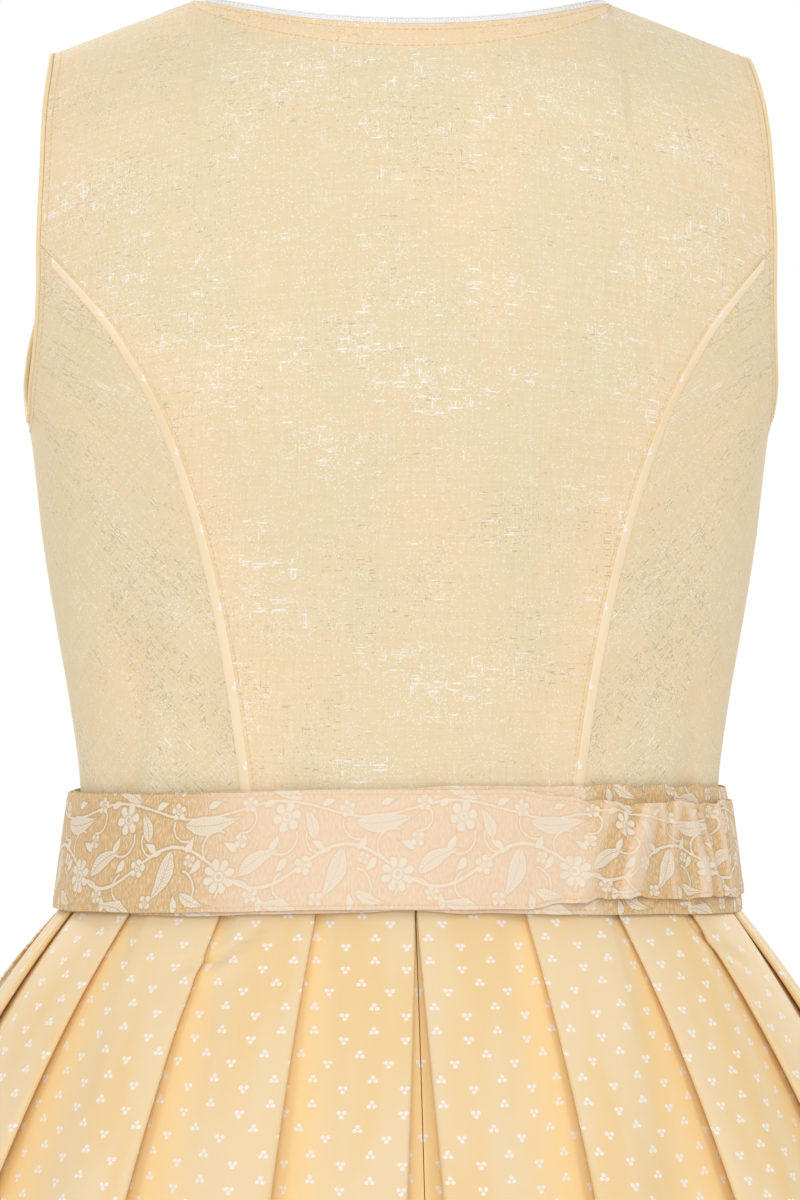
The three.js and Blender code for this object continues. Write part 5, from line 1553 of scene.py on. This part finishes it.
def tieStrip(name, shares, edges, out, extra, brocade, node):
    even = np.linspace(0, 1, tieLayers["levels"] + 1)
    turned = np.cos(np.linspace(0, math.pi, tieLayers["levels"] + 1))  # closest together at the edges
    levels = 0.5 - 0.5 * turned * 0.5 - 0.5 * (0.5 - even)
    levels = (levels - levels[0]) / (levels[-1] - levels[0])
    low, high = edges(shares)
    outer = np.zeros((len(levels), len(shares), 3))
    inner = np.zeros_like(outer)
    for j, share in enumerate(shares):
        for k, v in enumerate(levels):
            z = mixTo(low[j], high[j], v) + tilt(share)
            outer[k, j, 2] = z
    for j, share in enumerate(shares):
        for k, v in enumerate(levels):
            z = outer[k, j, 2]
            ring = bandRingAt(z)
            inEdge = min(v, 1 - v) * (high[j] - low[j])
            rounded = 0.35 * math.exp(-(inEdge / tieLayers["edgeRound"]) ** 2)
            hem = tieLayers["hemDepth"] * math.exp(-(((inEdge - tieLayers["hemLine"]) / 0.5) ** 2))
            lift = extra(share, v)
            outer[k, j] = ring.point(share * ring.total, out + dress["tieWall"] + lift - rounded - hem)
            inner[k, j] = ring.point(share * ring.total, out + lift + rounded * 0.5)
    along = runLengths(outer, 1)
    middle = along[len(levels) // 2]
    up = np.concatenate([[0], np.cumsum(np.linalg.norm(np.diff(outer, axis=0), axis=-1).mean(1))])
    uv = np.stack(np.broadcast_arrays(middle[None, :], up[:, None]), -1)
    # Painted sheen: the satin is painted pale across the back and along each crest of the folds, where it
    # would catch the light, and rich between them
    pale = smoothStep(shares, 0.31, 0.14) * smoothStep(shares, -0.23, -0.17)
    crest = np.array([[extra(share, v) for share in shares] for v in levels])
    tint = np.clip(np.maximum(pale[None, :], smoothStep(crest, 0.8, 3.8)), 0.0, 1.0)
    piece = shell(name, outer, inner, uv, brocade, tint)
    declareCloth(piece, uv, "vine_brocade", node)
    return {"grid": outer, "normals": unit(outer - inner), "piece": piece}


ringStore = {}


def bandRingAt(z):  # band rings are asked for at many near heights, so they are kept
    key = round(float(z) * 4) / 4
    if key not in ringStore:
        ringStore[key] = roundLine(bandRing(key), key)
    ring = ringStore[key]
    ring.z = float(z)
    return ring


def ramp(value, start, length):
    return np.clip((value - start) / length, 0, 1)


def upperEdges(shares):
    drawn = ramp(-shares, -creaseSpan[0], 0.08) * ramp(shares, creaseSpan[1] - 0.2, 0.1)
    crumpled = ramp(-shares, -creaseSpan[0], 0.05) * ramp(shares, creaseSpan[1] - 0.05, 0.06)
    scallop = crumpled * (1.1 * wander(shares * 58, 2.7) + 0.3 * wander(shares * 120, 4.1))
    slack = 0.35 * wander(shares * 24, 7.3)
    low = dress["bandBottomZ"] + mixTo(tieInset["wide"], tieInset["drawnLow"], drawn) + scallop + slack * 0.6
    high = dress["bandTopZ"] - mixTo(tieInset["wide"], tieInset["drawnHigh"], drawn) - scallop * 1.1 + slack
    return low, high


def upperCreases(share, v):
    inside = ramp(-share, -creaseSpan[0], 0.04) * ramp(share, creaseSpan[1] - 0.02, 0.06)
    total = 0.25 + 0.25 * wander(share * 40 + v * 2.5, 9.2)
    for crease in tieCreases:
        bow = 0.006 * math.sin(v * math.pi) * math.sin(crease["at"] * 97)
        off = (share - crease["at"] - crease["lean"] * (v - 0.5) - bow) / crease["width"]
        off /= creaseSteep if off > 0 else 1.0
        if abs(off) < 3:
            fade = 0.75 + 0.25 * math.sin(v * 3.1 + crease["at"] * 50)
            total += inside * crease["height"] * fade * math.exp(-off * off)
    return float(total)


def underEdges(shares):
    reach = tieInset["underReach"] * ramp(-shares, 0, 0.04)
    ruffle = ramp(-shares, 0.16, 0.04) * ramp(shares, -0.44, 0.05)
    peek = 1.1 * ramp(shares, 0.03, 0.05) * ramp(-shares, -0.33, 0.06)
    low = dress["bandBottomZ"] - reach - peek - 0.35 * wander(shares * 30, 5.1)
    high = dress["bandTopZ"] + reach * 0.8 + ruffle * (1.2 + 1.2 * wander(shares * 95, 3.3))
    return low, high


def underRuffle(share, v):
    ruffle = float(ramp(-share, 0.16, 0.04) * ramp(share, -0.44, 0.05))
    top = max((v - 0.9) / 0.1, 0.0)
    return ruffle * top * (0.7 + 0.7 * float(wander(share * 150, 6.6)))


bow = {
    "knotWidth": 30.0, "knotHeight": 44.0, "knotDepth": 15.0, "loopLength": 86.0, "loopDepth": 21.0,
    "loopDroop": 16.0, "loopNarrow": 26.0, "loopWide": 56.0, "standOff": 2.2, "squareness": 0.7,
    "knotLift": 0.4, "knotRows": 41, "knotSides": 64, "loopSteps": 97, "loopRows": 41,
}
tails = [
    {"name": "tieEndLeft", "node": "tie_end_left", "lean": 52.0, "long": 300.0, "start": 12.0, "side": 1},
    {"name": "tieEndRight", "node": "tie_end_right", "lean": -56.0, "long": 270, "start": -12.0, "side": -1},
]
tail = {
    "narrow": 20.0, "wide": 50.0, "slant": 22.0, "rest": 0.35, "ripple": 1.6, "bandPart": 12.0,
    "bandRise": 3.0, "opening": 3.0, "rows": 90, "columns": 32,
}
upperOut = tieLayers["gap"] * 2 + dress["tieWall"]
bandMidZ = (dress["bandTopZ"] + dress["bandBottomZ"]) / 2


def bowFrame():
    ring = roundLine(bandRing(bandMidZ), bandMidZ)
    at = ring.point(bandSizes["bowAt"] * ring.total, upperOut + dress["tieWall"])
    beside = ring.point((bandSizes["bowAt"] + 0.01) * ring.total, upperOut + dress["tieWall"])
    across = unit(beside - at)
    out = np.array([across[1], -across[0], 0.0])
    return at, across, out if out @ at > 0 else -out


def bowPoint(place, along, out, up):
    at, across, outward = place
    along, out, up = np.broadcast_arrays(along, out, up)
    upright = np.array([0.0, 0.0, 1.0])
    return at + along[..., None] * across + out[..., None] * outward + up[..., None] * upright


def buildBow(brocade, thread, stitches):
    print("bow")
    place = bowFrame()
    # The knot: a squared, wrapped body with drawn folds running over it
    lift = np.linspace(-0.5, 0.5, bow["knotRows"])[1:-1, None] * math.pi
    turn = np.arange(bow["knotSides"])[None, :] / bow["knotSides"] * 2 * math.pi

    def squared(value):
        return np.sign(value) * np.abs(value) ** bow["squareness"]

    level = squared(np.cos(lift))
    drawn = 1 + 0.035 * np.sin(turn * 5 + 1.1 * np.sin(lift * 2)) * np.cos(lift)
    drawn = drawn + 0.02 * np.sin(turn * 11 + lift * 3)
    waist = 1 - 0.10 * np.cos(lift) ** 4
    along = bow["knotWidth"] / 2 * level * squared(np.cos(turn)) * drawn * waist
    deep = bow["knotDepth"] / 2
    seat = deep + seamGap + bow["knotLift"]
    out = seat + deep * level * squared(np.sin(turn)) * np.minimum(drawn, 1.0)
    up = bow["knotHeight"] / 2 * squared(np.sin(lift)) * np.ones_like(turn)
    points = bowPoint(place, along, out, up)
    rows, sides = points.shape[:2]
    ends = [bowPoint(place, 0.0, seat, s * bow["knotHeight"] / 2) for s in (-1, 1)]
    index = np.arange(rows * sides).reshape(rows, sides)
    after = np.roll(index, -1, 1)
    faces = np.stack([index[:-1], after[:-1], after[1:], index[1:]], -1).reshape(-1, 4).tolist()
    low, high = rows * sides, rows * sides + 1
    faces += [[low, int(index[0, (i + 1) % sides]), int(index[0, i])] for i in range(sides)]
    faces += [[high, int(index[-1, i]), int(index[-1, (i + 1) % sides])] for i in range(sides)]
    flat = np.stack(np.broadcast_arrays(np.abs(turn - math.pi) * 13.0, up), -1).reshape(-1, 2)
    flat = np.concatenate([flat, [[0.0, -24.0]], [[0.0, 24.0]]])
    points = np.concatenate([points.reshape(-1, 3), *(end[None] for end in ends)])
    knot = looseMesh("bowKnot", points, faces, flat, brocade)
    carry(knot, "vine_brocade", "bow_knot")

    sewn = []
    for word, sign in (("Left", -1), ("Right", 1)):
        turns = mixTo(0.12, 0.88, np.linspace(0, 1, bow["loopSteps"])) * 2 * math.pi
        reach = (1 - np.cos(turns)) / 2
        start = bow["knotWidth"] / 2 + seamGap
        x = start + bow["loopLength"] * (reach - (1 - math.cos(0.24 * math.pi)) / 2) * 1.16
        y = bow["standOff"] + bow["loopDepth"] * (0.5 + 0.5 * np.sin(turns) * (0.35 + 0.65 * reach))
        v = np.linspace(-0.5, 0.5, bow["loopRows"])[:, None]
        width = mixTo(bow["loopNarrow"], bow["loopWide"], reach)[None, :]
        front = np.clip(np.sin(turns), 0, 1)
        gathers = np.cos(v * 7 * math.pi + 0.6 * sign) * np.exp(-reach / 0.32)[None, :] * 1.7
        folds = 1.5 * hump(v - 0.18 + 0.25 * reach[None, :], 0.07)
        folds = folds - 1.2 * hump(v + 0.12 - 0.2 * reach[None, :], 0.08)
        billow = (gathers + folds * (reach * (1 - reach) * 3.2)[None, :]) * front[None, :]
        sag = bow["loopDroop"] * reach[None, :] ** 2 + 1.5 * np.sin(v * 6 + 2) * reach[None, :] ** 3
        middle = bowPoint(place, sign * (x + 0 * v), y + billow, v * width - sag)
        outer, inner, normals = wallFrom(middle, dress["tieWall"])
        length = runLengths(middle, 1)[bow["loopRows"] // 2]
        uv = np.stack(np.broadcast_arrays(length[None, :], v * bow["loopWide"]), -1)
        piece = shell("bowLoop" + word, outer, inner, uv, brocade)
        declareCloth(piece, uv, "vine_brocade", "bow_loop_" + word.lower())
        panel = {"grid": outer, "normals": normals}
        sewn += [cutRun(insetLine(panel, edge, tieLayers["hemLine"]), 3, -3) for edge in ("top", "bottom")]

    for end in tails:
        topZ = bandMidZ - bow["knotHeight"] / 2 - seamGap
        overBand = upperOut + dress["tieWall"] + seamGap
        downs, acrosses = np.linspace(0, 1, tail["rows"] + 1), np.linspace(-0.5, 0.5, tail["columns"] + 1)
        outer, inner = np.zeros((2, len(downs), len(acrosses), 3))
        for j, v in enumerate(downs):
            opened = min(max(v * tail["opening"], 0.0), 1.0)
            width = mixTo(tail["narrow"], tail["wide"], opened)
            for i, u in enumerate(acrosses):
                z = topZ - end["long"] * v - tail["slant"] * v * (u * end["side"] + 0.5)
                inBand = z > dress["bandBottomZ"]
                past = min(max((dress["bandBottomZ"] + tail["bandPart"] - z) / tail["bandPart"], 0.0), 1.0)
                ring = bandRingAt(z) if inBand else skirtRingAt(z)
                along = bandSizes["bowAt"] * ring.total - end["start"] - end["lean"] * v - u * width
                if inBand:
                    under = overBand + tail["bandRise"] * past
                else:
                    sway = float(skirtSway(np.array(along / ring.total), z))
                    under = apronOut(z, 0.0, sway, smooth=True) + dress["clothWall"]
                folds = math.cos(u * 4 * math.pi) + 0.35 * math.sin(u * 9 + v * 5 + end["start"])
                ripple = tail["ripple"] * (1 + max(folds, -1.0) * opened)
                gathers = 0.9 * math.cos(u * 11 * math.pi) * math.exp(-v * 14)
                out = under + tail["rest"] + ripple + gathers + 0.9
                outer[j, i] = ring.point(along, out + dress["tieWall"])
                inner[j, i] = ring.point(along, out)
        down = runLengths(outer, 0)[:, tail["columns"] // 2]
        uv = np.stack(np.broadcast_arrays(acrosses[None, :] * tail["wide"], down[:, None]), -1)[..., ::-1]
        piece = shell(end["name"], outer, inner, uv, brocade)
        declareCloth(piece, uv, "vine_brocade", end["node"])
        panel = {"grid": outer, "normals": unit(outer - inner)}
        edges = "start", "end", "bottom", "top"
        sewn += [cutRun(insetLine(panel, edge, tieLayers["hemLine"]), 3, -3) for edge in edges]
    sewAlong("bowStitches", sewn, "hemStitch", thread, "stitching", stitches)


def skirtRingAt(z):
    key = "skirt", round(float(z) * 2) / 2
    if key not in ringStore:
        ringStore[key] = roundLine(skirtRing(key[1]), key[1])
    ring = ringStore[key]
    ring.z = float(z)
    return ring


def buildTies(brocade, thread, stitches):
    print("band and ties")

    def whole(shares):
        return np.full(len(shares), dress["bandBottomZ"]), np.full(len(shares), dress["bandTopZ"])

    def slack(share, v):
        return 0.12 + 0.12 * float(wander(share * 50 + v * 2, 4.7))

    end = bandSizes["end"]
    first, last = end + tieSteps["bandInset"], 2 - end - tieSteps["bandInset"]
    tieStrip(
        "apronBand", np.linspace(first, last, tieSteps["band"]), whole, tieLayers["gap"], slack,
        brocade, "apron_band",
    )
    under = tieStrip(
        "tieUnder", np.linspace(end, -end, tieSteps["under"]), underEdges, tieLayers["gap"], underRuffle,
        brocade, "tie_under",
    )
    start, stop = bandSizes["bowAt"] - bandSizes["bowGap"], bandSizes["bowAt"] + bandSizes["bowGap"] - 2
    shares = np.concatenate([
        np.linspace(start, creaseSpan[0], tieSteps["before"]),
        np.linspace(*creaseSpan, tieSteps["creased"])[1:],
        np.linspace(creaseSpan[1], stop, tieSteps["after"])[1:],
    ])
    over = tieStrip(
        "tieOver", shares, upperEdges, upperOut, upperCreases, brocade, "tie_over",
    )
    lines = []
    for panel in (over, under):
        lines += [cutRun(insetLine(panel, edge, tieLayers["hemLine"]), 2, -2) for edge in ("top", "bottom")]
    sewAlong("tieStitches", lines, "hemStitch", thread, "stitching", stitches)


# Pale floor and soft studio light
studio = {
    "floorDrop": 0.012, "floorSize": 5.0, "floorColour": (0.86, 0.85, 0.83), "floorRoughness": 0.9,
    "world": (1.0, 1.0, 1.0), "worldSeen": 1.0, "worldLight": 0.66,
    "lamps": [
        {
            "name": "keySoft", "azimuth": 226.0, "height": 1.5, "away": 2.6, "size": 1.0, "power": 13.0,
            "aimZ": -0.4,
        },
        {
            "name": "fillSoft", "azimuth": 120.0, "height": 1.2, "away": 2.8, "size": 1.2, "power": 10.0,
            "aimZ": -0.4,
        },
        {
            "name": "backSoft", "azimuth": 172.0, "height": 0.5, "away": 3.8, "size": 2.6, "power": 35.0,
            "aimZ": -0.45,
        },
        {
            "name": "frontKey", "azimuth": 28.0, "height": 1.4, "away": 3.0, "size": 1.4, "power": 34.0,
            "aimZ": -0.5,
        },
        {
            "name": "frontFill", "azimuth": -40.0, "height": 1.0, "away": 3.2, "size": 1.6, "power": 20.0,
            "aimZ": -0.5,
        },
    ],
}


def buildStudio():
    print("floor and light")
    material = bpy.data.materials.new("paleFloor")
    material.use_nodes = True
    shader = material.node_tree.nodes["Principled BSDF"]
    shader.inputs["Base Color"].default_value = (*studio["floorColour"], 1.0)
    shader.inputs["Roughness"].default_value = studio["floorRoughness"]
    half, z = studio["floorSize"] / 2, hemZ * millimetre - studio["floorDrop"]
    mesh = bpy.data.meshes.new("studioFloor")
    corners = [(-half, -half, z), (half, -half, z), (half, half, z), (-half, half, z)]
    mesh.from_pydata(corners, [], [(0, 1, 2, 3)])
    mesh.materials.append(material)
    floor = bpy.data.objects.new("studioFloor", mesh)
    bpy.context.scene.collection.objects.link(floor)
    world = bpy.data.worlds.new("studioWorld")
    world.use_nodes = True
    tree = world.node_tree
    sky, path = tree.nodes["Background"], tree.nodes.new("ShaderNodeLightPath")
    sky.inputs["Color"].default_value = (*studio["world"], 1.0)
    seen = wire(tree, path.outputs["Is Camera Ray"]) * (studio["worldSeen"] - studio["worldLight"])
    tree.links.new((seen + studio["worldLight"]).socket, sky.inputs["Strength"])
    bpy.context.scene.world = world
    for lamp in studio["lamps"]:
        data = bpy.data.lights.new(lamp["name"], "AREA")
        data.shape, data.size, data.energy = "DISK", lamp["size"], lamp["power"]
        piece = bpy.data.objects.new(lamp["name"], data)
        turn = math.radians(lamp["azimuth"])
        piece.location = (lamp["away"] * math.sin(turn), -lamp["away"] * math.cos(turn), lamp["height"])
        down = math.atan2(lamp["height"] - lamp["aimZ"], lamp["away"])
        piece.rotation_euler = (quarterTurn - down, 0.0, turn)
        bpy.context.scene.collection.objects.link(piece)
    bpy.context.scene.view_settings.view_transform = "Standard"


buildCamera()
buildStudio()
stitches = stitchTree()
cloth = {
    "centre": linenMaterial("linenCentre", 0.0, 0.42, 0.22),
    "side": linenMaterial("linenSide", 50.0, 0.10, 0.55),
    "front": linenMaterial("linenFront", 0.0, 0.36, 0.25),
}
printed = printMaterial("dottedCotton", print_["colour"], print_["warm"])
# Painted light: the piping is the same dotted cotton, given a paler base as a lit copy of it
flatPrint = printMaterial("dottedPiping", print_["flat"], print_["colour"])
brocade = vineMaterial("vineBrocade")
thread, tape, edgeCloth = (plainMaterial(name) for name in ("stitchThread", "whiteTape", "edgeCloth"))
panels = buildBodice(cloth, flatPrint, edgeCloth, thread, tape, stitches)
buildButtons(panels, printed)
buildSkirt(printed)
buildApron(brocade, thread, stitches)
buildTies(brocade, thread, stitches)
buildBow(brocade, thread, stitches)

print("finishing")
